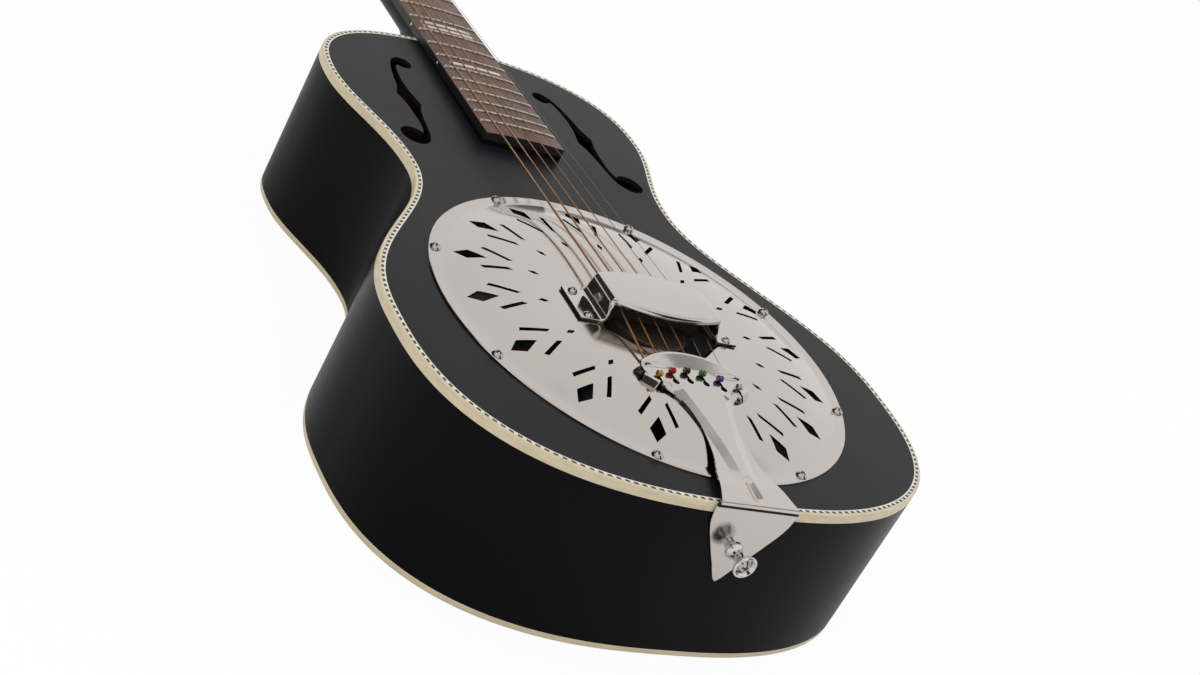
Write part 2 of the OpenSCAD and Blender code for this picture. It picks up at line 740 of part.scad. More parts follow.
dome_steps = 12;
dome_top = [for (i = [0 : dome_steps]) let (r = cover_flat_r * i / dome_steps)
    [r, dome_z(r)]];
rim_slope = 1.6;
cover_line = concat(dome_top, [[cover_flat_r + rim_slope, top_z + cover_t], [cover_r, top_z + cover_t],
    [cover_r, top_z], [cover_flat_r + 0.4, top_z]],
    [for (p = reversed(dome_top)) [p[0] * (1 - 0.6 / cover_flat_r), p[1] - cover_t]]);
opening_plan = mirrored([[0, -opening_y], [opening_x - opening_cut_x, -opening_y],
    [opening_x, -opening_y + opening_cut_y], [opening_x, opening_y - opening_cut_y],
    [opening_x - opening_cut_x, opening_y], [0, opening_y]]);
module petal() {
    polygon([[kite_r + kite_out, 0], [kite_r, kite_w / 2], [kite_r - kite_in, 0],
             [kite_r, -kite_w / 2]]);
    polygon([[diamond_r + diamond_l / 2, 0], [diamond_r, diamond_w / 2],
             [diamond_r - diamond_l / 2, 0], [diamond_r, -diamond_w / 2]]);
    for (s = [-1, 1])
        polygon([[slot_out_r - 1.1, s * (slot_out_x + 1)],
                 [slot_out_r + 1.1, s * (slot_out_x + 1 - slot_w * 0.75)],
                 [slot_in_r + 1.6, s * (slot_in_x - slot_w * 0.25)],
                 [slot_in_r - 1.6, s * (slot_in_x + slot_w * 0.25)]]);
}
module foot_screw_places() {
    for (sx = [-1, 1]) for (sy = [-1, 1])
        translate([sx * (rest_x + foot_len - foot_screw_in), sy * foot_screw_y, 0]) children();
}
module coverplate() {
    color([0.8, 0.78, 0.75]) difference() {
        rotate_extrude() polygon(cover_line);
        translate([0, 0, top_z - eps]) linear_extrude(cover_rise + 4 * cover_t) {
            for (i = [0 : petal_count - 1]) rotate(i * 360 / petal_count) petal();
            polygon(opening_plan);
        }
        cover_screw_places() translate([0, 0, top_z - eps])
            cylinder(r = cover_shank_r + seat_gap, h = 3 * cover_t, $fn = 24);
        foot_screw_places() translate([0, 0, top_z])
            cylinder(r = foot_shank_r + seat_gap, h = 2 * cover_rise, $fn = 24);
    }
}
// An oval screw head with its flat side down, and a round shank
module oval_screw(head_r, shank_r, length) {
    rotate_extrude($fn = 32) polygon([[0, -length], [shank_r * 0.4, -length], [shank_r, 2 - length],
        [shank_r, 0], [head_r, 0], [head_r * 0.94, 0.25 * head_r], [head_r * 0.7, 0.42 * head_r],
        [0, 0.52 * head_r]]);
}
module coverplate_screws() {
    color([0.8, 0.78, 0.76]) cover_screw_places() translate([0, 0, top_z + cover_t])
        oval_screw(cover_head_r, cover_shank_r, cover_screw_len);
}

// Plan of the handrest with both long edges bowed, moved inwards by a distance
function rest_plan(inset, z) =
    let (half = rest_x - inset, steps = 12,
         bow = [for (i = [0 : steps]) let (x = half * (2 * i / steps - 1))
                [x, rest_bow * (1 - pow(x / rest_x, 2))]])
    concat([for (b = bow) [b[0], -rest_front - b[1] + inset, z]],
           [for (b = reversed(bow)) [b[0], rest_back + b[1] - inset, z]]);
rest_top = top_z + rest_h;
module rest_shell(inset, drop, round, lip) {
    loft(concat([rest_plan(inset, rest_top - lip)],
        [for (a = [0 : 22.5 : 90]) rest_plan(inset + round * (1 - cos(a)),
                                             rest_top - drop - round * (1 - sin(a)))]));
}
module handrest() {
    color([0.82, 0.8, 0.78]) difference() {
        union() {
            rest_shell(0, 0, rest_round, rest_lip);
            for (s = [-1, 1]) scale_side(s) {
                box(rest_x - rest_t, rest_x, -rest_front, rest_back, foot_z, rest_top - rest_round);
                box(rest_x - rest_t, rest_x + foot_len, -foot_y, foot_y, foot_z, foot_z + rest_t);
                translate([rest_x, (rest_back - rest_front) / 2, (foot_z + rest_top) / 2])
                    rotate([0, 90, 0]) cylinder(r = 1.4, h = 0.6, $fn = 32);
            }
        }
        rest_shell(rest_t, rest_t, rest_round - rest_t / 2, rest_lip + eps);
        foot_screw_places() translate([0, 0, foot_z - eps])
            cylinder(r = foot_shank_r + seat_gap, h = rest_t + 2 * eps, $fn = 24);
    }
}
module handrest_screws() {
    color([0.8, 0.78, 0.76]) foot_screw_places() translate([0, 0, foot_z + rest_t])
        oval_screw(foot_head_r, foot_shank_r, rest_t + cover_t + 3.5);
}

// ---- Tailpiece and strap button -----------------------------------------------------

head_arc_end = asin(tail_head_x / tail_head_r);
tail_head_edge = [for (i = [0 : 10]) let (a = head_arc_end * i / 10)
    [tail_head_r * sin(a), head_centre_y + tail_head_r * cos(a)]];
head_corner_y = head_centre_y + tail_head_r * cos(head_arc_end);
tail_sides = smooth([[tail_head_x, head_corner_y - 6], [tail_head_x - 4, head_corner_y - 12],
    [tail_head_x - 11, head_corner_y - 17], [stem_x + 4.5, head_corner_y - 25],
    [stem_x + 0.5, -(stem_y - 12)], [stem_x, -stem_y], [stem_x + 2, -(stem_y + 14)],
    [stem_x + 7.5, -(stem_y + 27)], [fold_x - 1, 8 - tail_len], [fold_x, -tail_len]]);
tail_plan = mirrored(concat(tail_head_edge, tail_sides,
                            [[fold_x, fold_y - tail_t - 1], [0, fold_y - tail_t - 1]]));
// The stem's upper face falls in a straight line from the head to the fold
function stem_z(y) = top_z + tail_head_z - (tail_head_z - stem_rise - tail_t)
    * (stem_start_y - y) / (stem_start_y - fold_y);
stem_slope = atan((tail_head_z - stem_rise - tail_t) / (stem_start_y - fold_y));
tail_profile = [[0, top_z + tail_head_z], [stem_start_y, top_z + tail_head_z],
    [fold_y - 0.3, stem_z(fold_y)], [fold_y - hinge_gap - tail_t, stem_z(fold_y) - 1.2],
    [fold_y - hinge_gap - tail_t, top_z + bracket_t - hook_drop],
    [fold_y - hinge_gap, top_z + bracket_t - hook_drop],
    [fold_y - hinge_gap, stem_z(fold_y) - tail_t], [stem_start_y, tail_under], [0, tail_under]];
module keyhole(i) {
    translate([string_x(i, ball_spread), ball_y(i), tail_under - eps]) {
        translate([0, 1.5, 0]) cylinder(r = 1, h = tail_t + 2 * eps, $fn = 24);
        box(-1, 1, -keyhole_len + 1, 1.5, 0, tail_t + 2 * eps);
        translate([0, 1 - keyhole_len, 0])
            cylinder(r = ball_d / 2 + 0.15, h = tail_t + 2 * eps, $fn = 32);
    }
}
// A raised rib pressed into the stem, running from the head down towards the fold
tab_w = 9;
tab_len = 7;
tab_droop = 20;
rib_w = 6;
rib_h = 1.1;
rib_r = (rib_w * rib_w / 4 + rib_h * rib_h) / (2 * rib_h);
module rib(x0, y0, x1, y1) {
    length = norm([x1 - x0, y1 - y0]);
    translate([0, stem_start_y, top_z + tail_head_z]) rotate([stem_slope, 0, 0])
        translate([x0, y0 - stem_start_y, rib_h - rib_r]) rotate([0, 0, atan2(y1 - y0, x1 - x0)])
        intersection() {
            rotate([0, 90, 0]) union() {
                cylinder(r = rib_r, h = length, $fn = 48);
                sphere(rib_r, $fn = 48);
                translate([0, 0, length]) sphere(rib_r, $fn = 48);
            }
            box(-rib_w, length + rib_w, -rib_w, rib_w, rib_r - rib_h - 0.8, 2 * rib_r);
        }
}
// A small tab on the head's back corner, bent down towards the coverplate
module head_tab() {
    translate([tail_head_x - 6, head_corner_y - 12, top_z + tail_head_z]) rotate([0, tab_droop, -50])
        box(-1, tab_len, -tab_w / 2, tab_w / 2, -tail_t, -0.4);
}
module tailpiece() {
    color([0.8, 0.78, 0.75]) difference() {
        union() {
            intersection() {
                translate([0, 0, top_z - 10]) linear_extrude(40) polygon(tail_plan);
                rotate([90, 0, 90]) translate([0, 0, -tail_head_x - tail_t])
                    linear_extrude(2 * (tail_head_x + tail_t)) polygon(tail_profile);
            }
            translate([0, head_centre_y, tail_under + tail_bead_r]) rotate(90 - head_arc_end)
                rotate_extrude(angle = 2 * head_arc_end) translate([tail_head_r - tail_bead_r, 0])
                    circle(tail_bead_r, $fn = 32);
            for (s = [-1, 1]) rib(s * 16.5, stem_start_y - 3, s * 4.5, -tail_len + 14);
            for (s = [-1, 1]) scale_side(s) head_tab();
        }
        for (i = [0 : 5]) keyhole(i);
    }
}
bracket_half = smooth([[fold_x, -1.5], [fold_x - 3.5, -12], [fold_x - 9.5, -20],
    [fold_x - 12.5, -30], [fold_x - 17.5, -37], [fold_x - 22.5, 3 - bracket_len], [0, -bracket_len]]);
flange_x = stem_x + 5;
module tail_bracket() {
    color([0.8, 0.78, 0.75]) difference() {
        union() {
            translate([0, -tail_len, top_z]) rotate([90, 0, 0]) linear_extrude(bracket_t)
                polygon(mirrored(concat([[0, bracket_t], [fold_x, bracket_t]], bracket_half)));
            box(-flange_x, flange_x, -tail_len - bracket_t, -cover_r - flange_gap,
                top_z, top_z + bracket_t);
        }
        strap_screw_hole(strap_shank_r + seat_gap, -tail_len - bracket_t - eps, -tail_len + eps);
    }
}
strap_y = -tail_len - bracket_t;
// The screw stops short of the soundwell, which fills the inner end of the tail block
strap_grip = tail_len - rim_t - well_out - 1.2;
dish_r = strap_flare_r - 1.4;
module strap_button() {
    color([0.85, 0.84, 0.83]) translate([0, strap_y, top_z - button_drop]) rotate([90, 0, 0])
        rotate_extrude() polygon(concat([[strap_shank_r + seat_gap, 0], [5, 0], [5, 1.2], [4.4, 2]],
            smooth([[strap_waist_r + 0.6, 3.2], [strap_waist_r, 5.5], [strap_waist_r + 0.3, 8],
                    [strap_flare_r - 1.2, strap_len - 3]], 3),
            [[strap_flare_r, strap_len - 1.6], [strap_flare_r, strap_len - 0.8],
             [strap_flare_r - 0.6, strap_len], [dish_r, strap_len],
             [strap_shank_r + 2.2, strap_len - 2.4], [strap_shank_r + seat_gap, strap_len - 2.4]]));
}
module strap_button_screw() {
    color([0.85, 0.84, 0.83]) translate([0, strap_y - strap_len + 2.4, top_z - button_drop])
        rotate([90, 0, 0]) oval_screw(strap_shank_r + 1.8, strap_shank_r,
                                      strap_len - 2.4 + bracket_t + rim_t + strap_grip);
}

// ---- Neck ---------------------------------------------------------------------------

// Half-round section of the neck at a distance along it, squarer near the headstock
function neck_section(ly, half, depth, power) =
    [for (i = [0 : 16]) let (a = 180 * i / 16, s = sin(a), c = cos(a))
        [half * sign(c) * pow(abs(c), 2 / power), ly, -depth * pow(max(s, 0), 2 / power)]];
function shaft_depth(ly) = neck_depth_body + (neck_depth_nut - neck_depth_body) * ly / nut_ly;
shaft_rings = concat(
    [for (ly = [-0.5, 0.5 * nut_ly, nut_ly - 32]) neck_section(ly, board_half(ly), shaft_depth(ly), 2.3)],
    [neck_section(nut_ly - 14, board_half(nut_ly - 14), shaft_depth(nut_ly) + 0.4, 2.6),
     neck_section(nut_ly - 4, board_half(nut_ly - 4), shaft_depth(nut_ly) + 0.8, 4),
     neck_section(head_ly + 0.1, board_half(nut_ly), shaft_depth(nut_ly) + 0.4, 8)]);
// Plan section of the heel: half round, growing from the foot to the underside of the neck
heel_top = joint_z - 6;
function heel_section(t) =
    let (half = heel_foot_w / 2 + (board_half(0) - heel_foot_w / 2) * pow(t, 1.3),
         reach = 13 + (heel_len - 13) * pow(t, 2.2),
         z = heel_foot_z + (heel_top - heel_foot_z) * t)
    [for (i = [0 : 16]) let (a = 180 * i / 16)
        [half * cos(a), body_end - 2 + (reach + 2) * pow(max(sin(a), 0), 0.9), z]];
// Half outline of the headstock, from the nut to the middle of its end
head_half = smooth([[board_half(nut_ly), -1], [nut_w / 2 + 1.5, 5], [head_shoulder_x - 2.4, 14],
    [head_shoulder_x, 26], [head_shoulder_x + 0.4, 60], [head_end_x - 1.2, head_len - 40],
    [head_end_x, head_len - 12], [head_end_x - 4, head_len - 4.5], [head_end_x - 16, head_len - 1],
    [0, head_len]]);
module head_slab(z0, z1) {
    translate([0, 0, z0]) linear_extrude(z1 - z0) polygon(mirrored(concat([[0, -1]], head_half)));
}
// The truss rod's start in the heel, and the depth of its middle below the fretboard
rod_start = 2;
rod_depth = 5.6;
module rod_pocket() {
    box(-5, 5, -1, cover_plate_len - 6, -9, eps);
}
module post_holes(r, z0, z1) {
    for (s = [-1, 1]) for (k = [0 : 2])
        translate([s * post_x, first_post + k * post_pitch, z0]) cylinder(r = r, h = z1 - z0, $fn = 64);
}
module pilot_holes() {
    cover_screw_spots() translate([0, 0, -rod_screw_len - eps])
        cylinder(r = rod_screw_r + running_gap, h = rod_screw_len + 2 * eps, $fn = 24);
    plate_screw_spots() translate([0, 0, -head_t - eps])
        cylinder(r = plate_screw_r + running_gap, h = plate_screw_len + 2 * eps, $fn = 24);
}
module neck() {
    color([0.07, 0.07, 0.075]) {
        difference() {
            union() {
                on_head() head_slab(-head_t, -face_t);
                difference() {
                    union() {
                        on_neck() loft(shaft_rings);
                        loft([for (t = [0 : 0.125 : 1]) heel_section(t)]);
                    }
                    body_slab(0, -eps, top_z + eps);
                }
                tenon(0);
            }
            on_neck() box(-rod_r - 0.2, rod_r + 0.2, rod_start - seat_gap, head_ly + 3,
                          -rod_depth - rod_r, eps);
            on_head() rod_pocket();
            on_head() post_holes(bushing_r + 0.02, -head_t - eps, eps);
            on_head() pilot_holes();
            on_neck() box(-board_end_w, board_end_w, -40, 0, 0, 40);
        }
    }
}
module truss_rod() {
    color([0.55, 0.55, 0.56]) on_neck() translate([0, 0, -rod_depth]) rotate([-90, 0, 0]) {
        translate([0, 0, rod_start]) cylinder(r = rod_r, h = head_ly + 2 - rod_start, $fn = 48);
        translate([0, 0, head_ly + 2]) cylinder(r = rod_r + 0.6, h = 8, $fn = 6);
    }
}
// The fretboard's plan between two distances along the neck
module board_plan(ly0, ly1, trim) {
    polygon([[-board_half(ly0) + trim, ly0], [board_half(ly0) - trim, ly0],
             [board_half(ly1) - trim, ly1], [-board_half(ly1) + trim, ly1]]);
}
// Turns a section drawn across the neck about the axis of the curved fretboard
module along_board_curve(half) {
    spread = 2 * asin(half / board_r);
    translate([0, 0, board_t - board_r]) rotate([-90, 0, 0]) rotate([0, 0, 270 - spread / 2])
        rotate_extrude(angle = spread, $fn = 600) children();
}
module fret(n) {
    translate([0, fret_ly(n), 0]) along_board_curve(board_half(fret_ly(n)) - 0.4)
        polygon([[board_r - tang_h, -tang_w / 2], [board_r, -tang_w / 2], [board_r, -fret_w / 2],
            [board_r + 0.55 * fret_h, -0.42 * fret_w], [board_r + fret_h, -0.16 * fret_w],
            [board_r + fret_h, 0.16 * fret_w], [board_r + 0.55 * fret_h, 0.42 * fret_w],
            [board_r, fret_w / 2], [board_r, tang_w / 2], [board_r - tang_h, tang_w / 2]]);
}
// Inlaid bars: two behind the twelfth fret and one behind each other marked fret
single_bars = [5, 7, 9, 15];
double_bar = 12;
bar_depth = 1.6;
side_dot_depth = 1.5;
function behind(n) = (fret_ly(n) + fret_ly(n - 1)) / 2;
module inlaid_bar(gap, above) {
    along_board_curve(bar_len / 2 + gap) polygon([[board_r - bar_depth - gap, -bar_w / 2 - gap],
        [board_r + above, -bar_w / 2 - gap], [board_r + above, bar_w / 2 + gap],
        [board_r - bar_depth - gap, bar_w / 2 + gap]]);
}
module bar_places() {
    for (n = single_bars) translate([0, behind(n), 0]) children();
    for (s = [-1, 1]) translate([0, behind(double_bar) + s * 0.9 * bar_w, 0]) children();
}
module side_dot_places() {
    for (n = concat(single_bars, [double_bar])) {
        ly = behind(n);
        translate([-board_half(ly), ly, board_t / 2]) rotate([0, 90, 0]) children();
    }
}
module fretboard() {
    color([0.33, 0.22, 0.16]) on_neck() difference() {
        intersection() {
            linear_extrude(board_t) board_plan(board_end_ly, nut_ly, 0);
            along_board_curve(board_end_w / 2 + 2) polygon([[board_r - 10, board_end_ly - 1],
                [board_r, board_end_ly - 1], [board_r, nut_ly + 1], [board_r - 10, nut_ly + 1]]);
        }
        for (n = [1 : fret_count])
            translate([-board_end_w, fret_ly(n) - tang_w / 2 - 0.01, board_t - tang_h - 1.5])
                cube([2 * board_end_w, tang_w + 0.02, tang_h + 4]);
        bar_places() inlaid_bar(0.02, eps);
        side_dot_places() translate([0, 0, -eps])
            cylinder(r = side_dot_r + 0.02, h = eps + side_dot_depth + 0.02, $fn = 32);
    }
}
module frets() {
    color([0.8, 0.78, 0.74]) on_neck() for (n = [1 : fret_count]) fret(n);
}
module fret_markers() {
    color([0.92, 0.9, 0.84]) on_neck() {
        bar_places() inlaid_bar(0, 0);
        side_dot_places() cylinder(r = side_dot_r, h = side_dot_depth, $fn = 32);
    }
}
module fretboard_support() {
    color([0.07, 0.07, 0.075]) intersection() {
        on_neck() translate([0, 0, -2 * board_t]) linear_extrude(2 * board_t)
            board_plan(board_end_ly, -seat_gap, 0);
        body_slab(0, top_z, top_z + 4 * board_t);
    }
}
function nut_string_z(i) = board_t + nut_action + string_d[i] / 2;
module nut() {
    color([0.93, 0.9, 0.82]) on_neck() difference() {
        translate([0, nut_ly, 0]) rotate([90, 0, 90]) translate([0, 0, -nut_w / 2]) linear_extrude(nut_w)
            polygon([[0, 0.02], [nut_t, 0.02], [nut_t, board_t + nut_action - 1.2],
                     [nut_t - 1.6, board_t + nut_action + 0.4], [0, board_t + nut_action + 0.6]]);
        for (i = [0 : 5])
            translate([string_x(i, nut_spread), nut_ly - eps, nut_string_z(i) + nut_drop * eps / nut_t])
                rotate([-90 - atan(nut_drop / nut_t), 0, 0])
                cylinder(r = string_d[i] / 2 + slot_play, h = nut_t + 2 * eps, $fn = 24);
    }
}
// How far the strings fall through the nut
nut_drop = 0.8;

// ---- Headstock ----------------------------------------------------------------------

module headstock_face() {
    color([0.06, 0.06, 0.065]) on_head() difference() {
        head_slab(-face_t, 0);
        box(-nut_w, nut_w, -5, 0.5, -face_t - eps, eps);
        rod_pocket();
        pilot_holes();
        post_holes(bushing_r + 0.02, -face_t - eps, eps);
    }
}
rod_screw_r = 0.8;
rod_screw_len = 5;
plate_screw_r = 0.9;
plate_screw_len = 7;
rod_cover_half = smooth([[12, 1], [12, 4], [9, 11], [7, 18], [4.5, cover_plate_len - 2],
                         [0, cover_plate_len]]);
module cover_screw_spots() {
    for (p = [[-9, 4], [9, 4], [0, cover_plate_len - 3]]) translate([p[0], p[1], 0]) children();
}
module truss_cover() {
    color([0.1, 0.1, 0.1]) on_head() difference() {
        linear_extrude(cover_plate_t) polygon(mirrored(concat([[0, 1]], rod_cover_half)));
        cover_screw_spots() translate([0, 0, -eps])
            cylinder(r = rod_screw_r + seat_gap, h = cover_plate_t + 2 * eps, $fn = 24);
    }
}
plate_half = 8.5;
// How far a plate runs past its first and last posts, and how far in its end screws sit
plate_low_end = 19;
plate_high_end = 16;
end_screw_in = 4;
plate_screw_x = 3;
plate_screws_y = [first_post - plate_low_end + end_screw_in, first_post + post_pitch / 2 - 2,
    first_post + 1.5 * post_pitch - 2, first_post + 2 * post_pitch + plate_high_end - end_screw_in];
module plate_screw_spots() {
    for (s = [-1, 1]) for (y = plate_screws_y)
        translate([s * (post_x + plate_screw_x), y, 0]) children();
}
module head_screws() {
    color([0.78, 0.77, 0.75]) on_head() {
        cover_screw_spots() translate([0, 0, cover_plate_t])
            oval_screw(1.6, rod_screw_r, cover_plate_t + rod_screw_len);
        plate_screw_spots() translate([0, 0, -head_t - plate_t]) rotate([180, 0, 0])
            oval_screw(1.9, plate_screw_r, plate_t + plate_screw_len);
    }
}

// ---- Tuning machines ----------------------------------------------------------------

module machine_ear(s) {
    difference() {
        box(s * (ear_gap + ear_t / 2) - ear_t / 2, s * (ear_gap + ear_t / 2) + ear_t / 2,
            worm_y - 3.4, worm_y + 3.4, gear_z - 2.8, -head_t - plate_t / 2);
        translate([0, worm_y, gear_z]) rotate([0, 90, 0])
            cylinder(r = shaft_r + running_gap, h = 4 * ear_gap, center = true, $fn = 48);
    }
}
module tuner_plates() {
    color([0.75, 0.74, 0.7]) on_head() for (s = [-1, 1]) translate([s * post_x, 0, 0]) scale_side(s)
        difference() {
            union() {
                box(-plate_half, plate_half, first_post - plate_low_end,
                    first_post + 2 * post_pitch + plate_high_end,
                    -head_t - plate_t, -head_t);
                for (k = [0 : 2]) for (e = [-1, 1])
                    translate([0, first_post + k * post_pitch, 0]) machine_ear(e);
            }
            for (k = [0 : 2]) translate([0, first_post + k * post_pitch, -head_t - plate_t - eps])
                cylinder(r = post_r + running_gap, h = plate_t + 2 * eps, $fn = 48);
            for (y = plate_screws_y) translate([plate_screw_x, y, -head_t - plate_t - eps])
                cylinder(r = plate_screw_r + seat_gap, h = plate_t + 2 * eps, $fn = 24);
        }
}
module post_bushings() {
    color([0.82, 0.8, 0.76]) on_head() for (s = [-1, 1]) for (k = [0 : 2])
        translate([s * post_x, first_post + k * post_pitch, 0]) rotate_extrude($fn = 64)
            polygon([[post_r + running_gap, -9], [bushing_r, -9], [bushing_r, 0.02],
                [bushing_flange_r, 0.02], [bushing_flange_r, bushing_flange_t - 0.4],
                [bushing_r, bushing_flange_t], [post_r + running_gap, bushing_flange_t]]);
}
gear_top = gear_z + gear_t / 2;
gear_bottom = gear_z - gear_t / 2;
module string_post(n) {
    color([0.83, 0.82, 0.8]) at_machine(n) difference() {
        rotate_extrude($fn = 64) polygon([[0, gear_bottom - 1.5], [1.8, gear_bottom - 1.5],
            [2.7, gear_bottom - 0.9], [2.7, gear_bottom], [post_foot_r, gear_bottom],
            [post_foot_r, gear_top], [post_r + 0.6, gear_top],
            [post_r + 0.6, -head_t - plate_t - 0.15], [post_r, -head_t - plate_t - 0.15],
            [post_r, 3], [waist_post_r, 4], [waist_post_r, post_rise - 5.5],
            [post_r, post_rise - 4], [post_r, post_rise - 0.8], [post_r - 0.8, post_rise],
            [0, post_rise]]);
        translate([0, 0, post_rise / 2 + 1.5]) rotate([0, 90, 0])
            cylinder(r = 0.9, h = 4 * post_r, center = true, $fn = 24);
        box(-0.35, 0.35, -4, 4, gear_bottom - 2, gear_bottom - 1);
    }
}
// A worm wheel whose straight teeth lean with the worm's thread
tooth_root_w = worm_pitch * 0.59;
module gear(n) {
    tip_half = (worm_pitch - tooth_root_w) / 2 - backlash + 0.08;
    root_half = tooth_root_w / 2 - 0.03;
    color([0.8, 0.66, 0.38]) at_machine(n) translate([0, 0, gear_z]) difference() {
        union() {
            cylinder(r = gear_root_r, h = gear_t, center = true);
            intersection() {
                cylinder(r = gear_tip_r, h = gear_t, center = true);
                for (i = [0 : gear_teeth - 1]) rotate(i * 360 / gear_teeth)
                    translate([0, gear_root_r - 0.4, 0]) rotate([0, -worm_lead, 0])
                        linear_extrude(gear_t + 2, center = true)
                        polygon([[-root_half, 0], [root_half, 0],
                                 [tip_half, gear_tip_r - gear_root_r + 0.5],
                                 [-tip_half, gear_tip_r - gear_root_r + 0.5]]);
            }
        }
        cylinder(r = post_foot_r + 0.01, h = 2 * gear_t, center = true, $fn = 64);
    }
}
// One ring of the worm's thread, at an angle about the shaft
thread_root_half = worm_pitch * 0.26;
thread_tip_half = worm_pitch * 0.14;
function thread_ring(a) =
    let (x = worm_pitch * (a / 360 + 0.5))
    [for (q = [[x + thread_root_half, worm_core_r - 0.3], [x + thread_tip_half, worm_tip_r],
               [x - thread_tip_half, worm_tip_r], [x - thread_root_half, worm_core_r - 0.3]])
        [q[0], q[1] * cos(a), q[1] * sin(a)]];
thread_turns = 3;
shaft_reach = head_edge_x - post_x + 12;
module worm_shaft(n) {
    color([0.8, 0.79, 0.76]) at_machine(n) translate([0, worm_y, gear_z]) {
        loft([for (a = [-180 * thread_turns - 180 : 24 : 180 * thread_turns - 180]) thread_ring(a)]);
        rotate([0, 90, 0]) rotate_extrude($fn = 64) polygon([[0, -ear_gap - ear_t - 1],
            [shaft_r - 0.3, -ear_gap - ear_t - 1], [shaft_r, -ear_gap - ear_t - 0.5],
            [shaft_r, 0.2 - ear_gap],
            [worm_core_r, 0.2 - ear_gap], [worm_core_r, ear_gap - 0.2], [shaft_r, ear_gap - 0.2],
            [shaft_r, ear_gap + ear_t + 0.2], [shaft_r + 0.9, ear_gap + ear_t + 0.2],
            [shaft_r + 0.9, ear_gap + ear_t + 1.2], [shaft_r, ear_gap + ear_t + 1.6],
            [shaft_r, shaft_reach], [0, shaft_reach]]);
    }
}
// An oval button whose neck swells into a flat oval
button_start = head_edge_x - post_x + 2.5;
button_shape = [[0, 0.34, 0.72], [0.1, 0.36, 0.74], [0.2, 0.6, 0.8], [0.36, 0.9, 0.94], [0.56, 1, 1],
    [0.76, 0.92, 0.96], [0.91, 0.68, 0.8], [1, 0.34, 0.46]];
module tuning_button(n) {
    color([0.92, 0.89, 0.8]) at_machine(n) translate([button_start, worm_y, gear_z]) difference() {
        loft([for (s = button_shape) [for (k = [0 : 15]) let (a = 22.5 * k)
            [button_len * s[0], button_half_w * s[1] * cos(a), button_half_t * s[2] * sin(a)]]]);
        translate([-1, 0, 0]) rotate([0, 90, 0])
            cylinder(r = shaft_r + 0.01, h = shaft_reach - button_start + 1.1, $fn = 64);
    }
}

// ---- Strings ------------------------------------------------------------------------

// The machine whose post takes a string, and the string's turns round that post
function string_machine(i) = i <= 2 ? i + 1 : 9 - i;
wrap_top = 8.6;
function wrap_points(i) =
    let (n = string_machine(i), side = machine_side(n), d = string_d[i],
         r = waist_post_r + 0.3 + d / 2, steps = floor(wrap_turns * 12))
    [for (k = [0 : steps]) let (a = 180 - 30 * k)
        head_point([side * (post_x + r * cos(a)), post_y(n) + r * sin(a),
                    wrap_top - (d + 0.08) * k / 12])];
function string_path(i) =
    let (bx = string_x(i, ball_spread), by = ball_y(i), nx = string_x(i, nut_spread),
         low_z = tail_under - string_d[i] / 2 - 0.04, edge_y = head_arc_y(bx, tail_bead_r))
    concat([[bx, by + 0.7, ball_z - ball_d / 2 + 0.1], [bx, by + 2, low_z + 0.2], [bx, by + 4, low_z],
            [bx, edge_y, low_z], [string_x(i, saddle_spread), 0, top_z + string_rise],
            neck_point([nx, nut_ly, nut_string_z(i)]),
            neck_point([nx, nut_ly + nut_t, nut_string_z(i) - nut_drop])],
           wrap_points(i));
module strings(from, to) {
    for (i = [from : to]) tube(string_path(i), string_d[i] / 2);
}
module wound_strings() {
    color([0.72, 0.48, 0.3]) strings(0, wound_count - 1);
}
module plain_strings() {
    color([0.8, 0.8, 0.8]) strings(wound_count, 5);
}
ball_colours = [[0.75, 0.6, 0.25], [0.65, 0.1, 0.1], [0.06, 0.06, 0.06], [0.05, 0.45, 0.3],
    [0.3, 0.15, 0.5], [0.7, 0.7, 0.72]];
module ball_ends() {
    for (i = [0 : 5]) color(ball_colours[i])
        translate([string_x(i, ball_spread), ball_y(i), ball_z + 0.02]) rotate([0, 90, 0])
        rotate_extrude($fn = 48) polygon([[0.7, -ball_len / 2], [ball_d / 2 - 0.3, -ball_len / 2],
            [ball_d / 2, 0.3 - ball_len / 2], [ball_d / 2, -0.8], [ball_d / 2 - 0.6, 0],
            [ball_d / 2, 0.8], [ball_d / 2, ball_len / 2 - 0.3], [ball_d / 2 - 0.3, ball_len / 2],
            [0.7, ball_len / 2]]);
}

// ---- Nodes --------------------------------------------------------------------------

top_board();
back_board();
rim();
linings();
end_blocks();
braces();
soundwell();
bindings();
purfling();
cone();
biscuit();
saddle();
biscuit_screw();
coverplate();
coverplate_screws();
handrest();
handrest_screws();
tailpiece();
tail_bracket();
strap_button();
strap_button_screw();
neck();
truss_rod();
fretboard();
frets();
fret_markers();
fretboard_support();
nut();
headstock_face();
truss_cover();
head_screws();
tuner_plates();
post_bushings();
wound_strings();
plain_strings();
ball_ends();
string_post(1);  // string_post_1
string_post(2);  // string_post_2
string_post(3);  // string_post_3
string_post(4);  // string_post_4
string_post(5);  // string_post_5
string_post(6);  // string_post_6
gear(1);  // gear_1
gear(2);  // gear_2
gear(3);  // gear_3
gear(4);  // gear_4
gear(5);  // gear_5
gear(6);  // gear_6
worm_shaft(1);  // worm_shaft_1
worm_shaft(2);  // worm_shaft_2
worm_shaft(3);  // worm_shaft_3
worm_shaft(4);  // worm_shaft_4
worm_shaft(5);  // worm_shaft_5
worm_shaft(6);  // worm_shaft_6
tuning_button(1);  // tuning_button_1
tuning_button(2);  // tuning_button_2
tuning_button(3);  // tuning_button_3
tuning_button(4);  // tuning_button_4
tuning_button(5);  // tuning_button_5
tuning_button(6);  // tuning_button_6
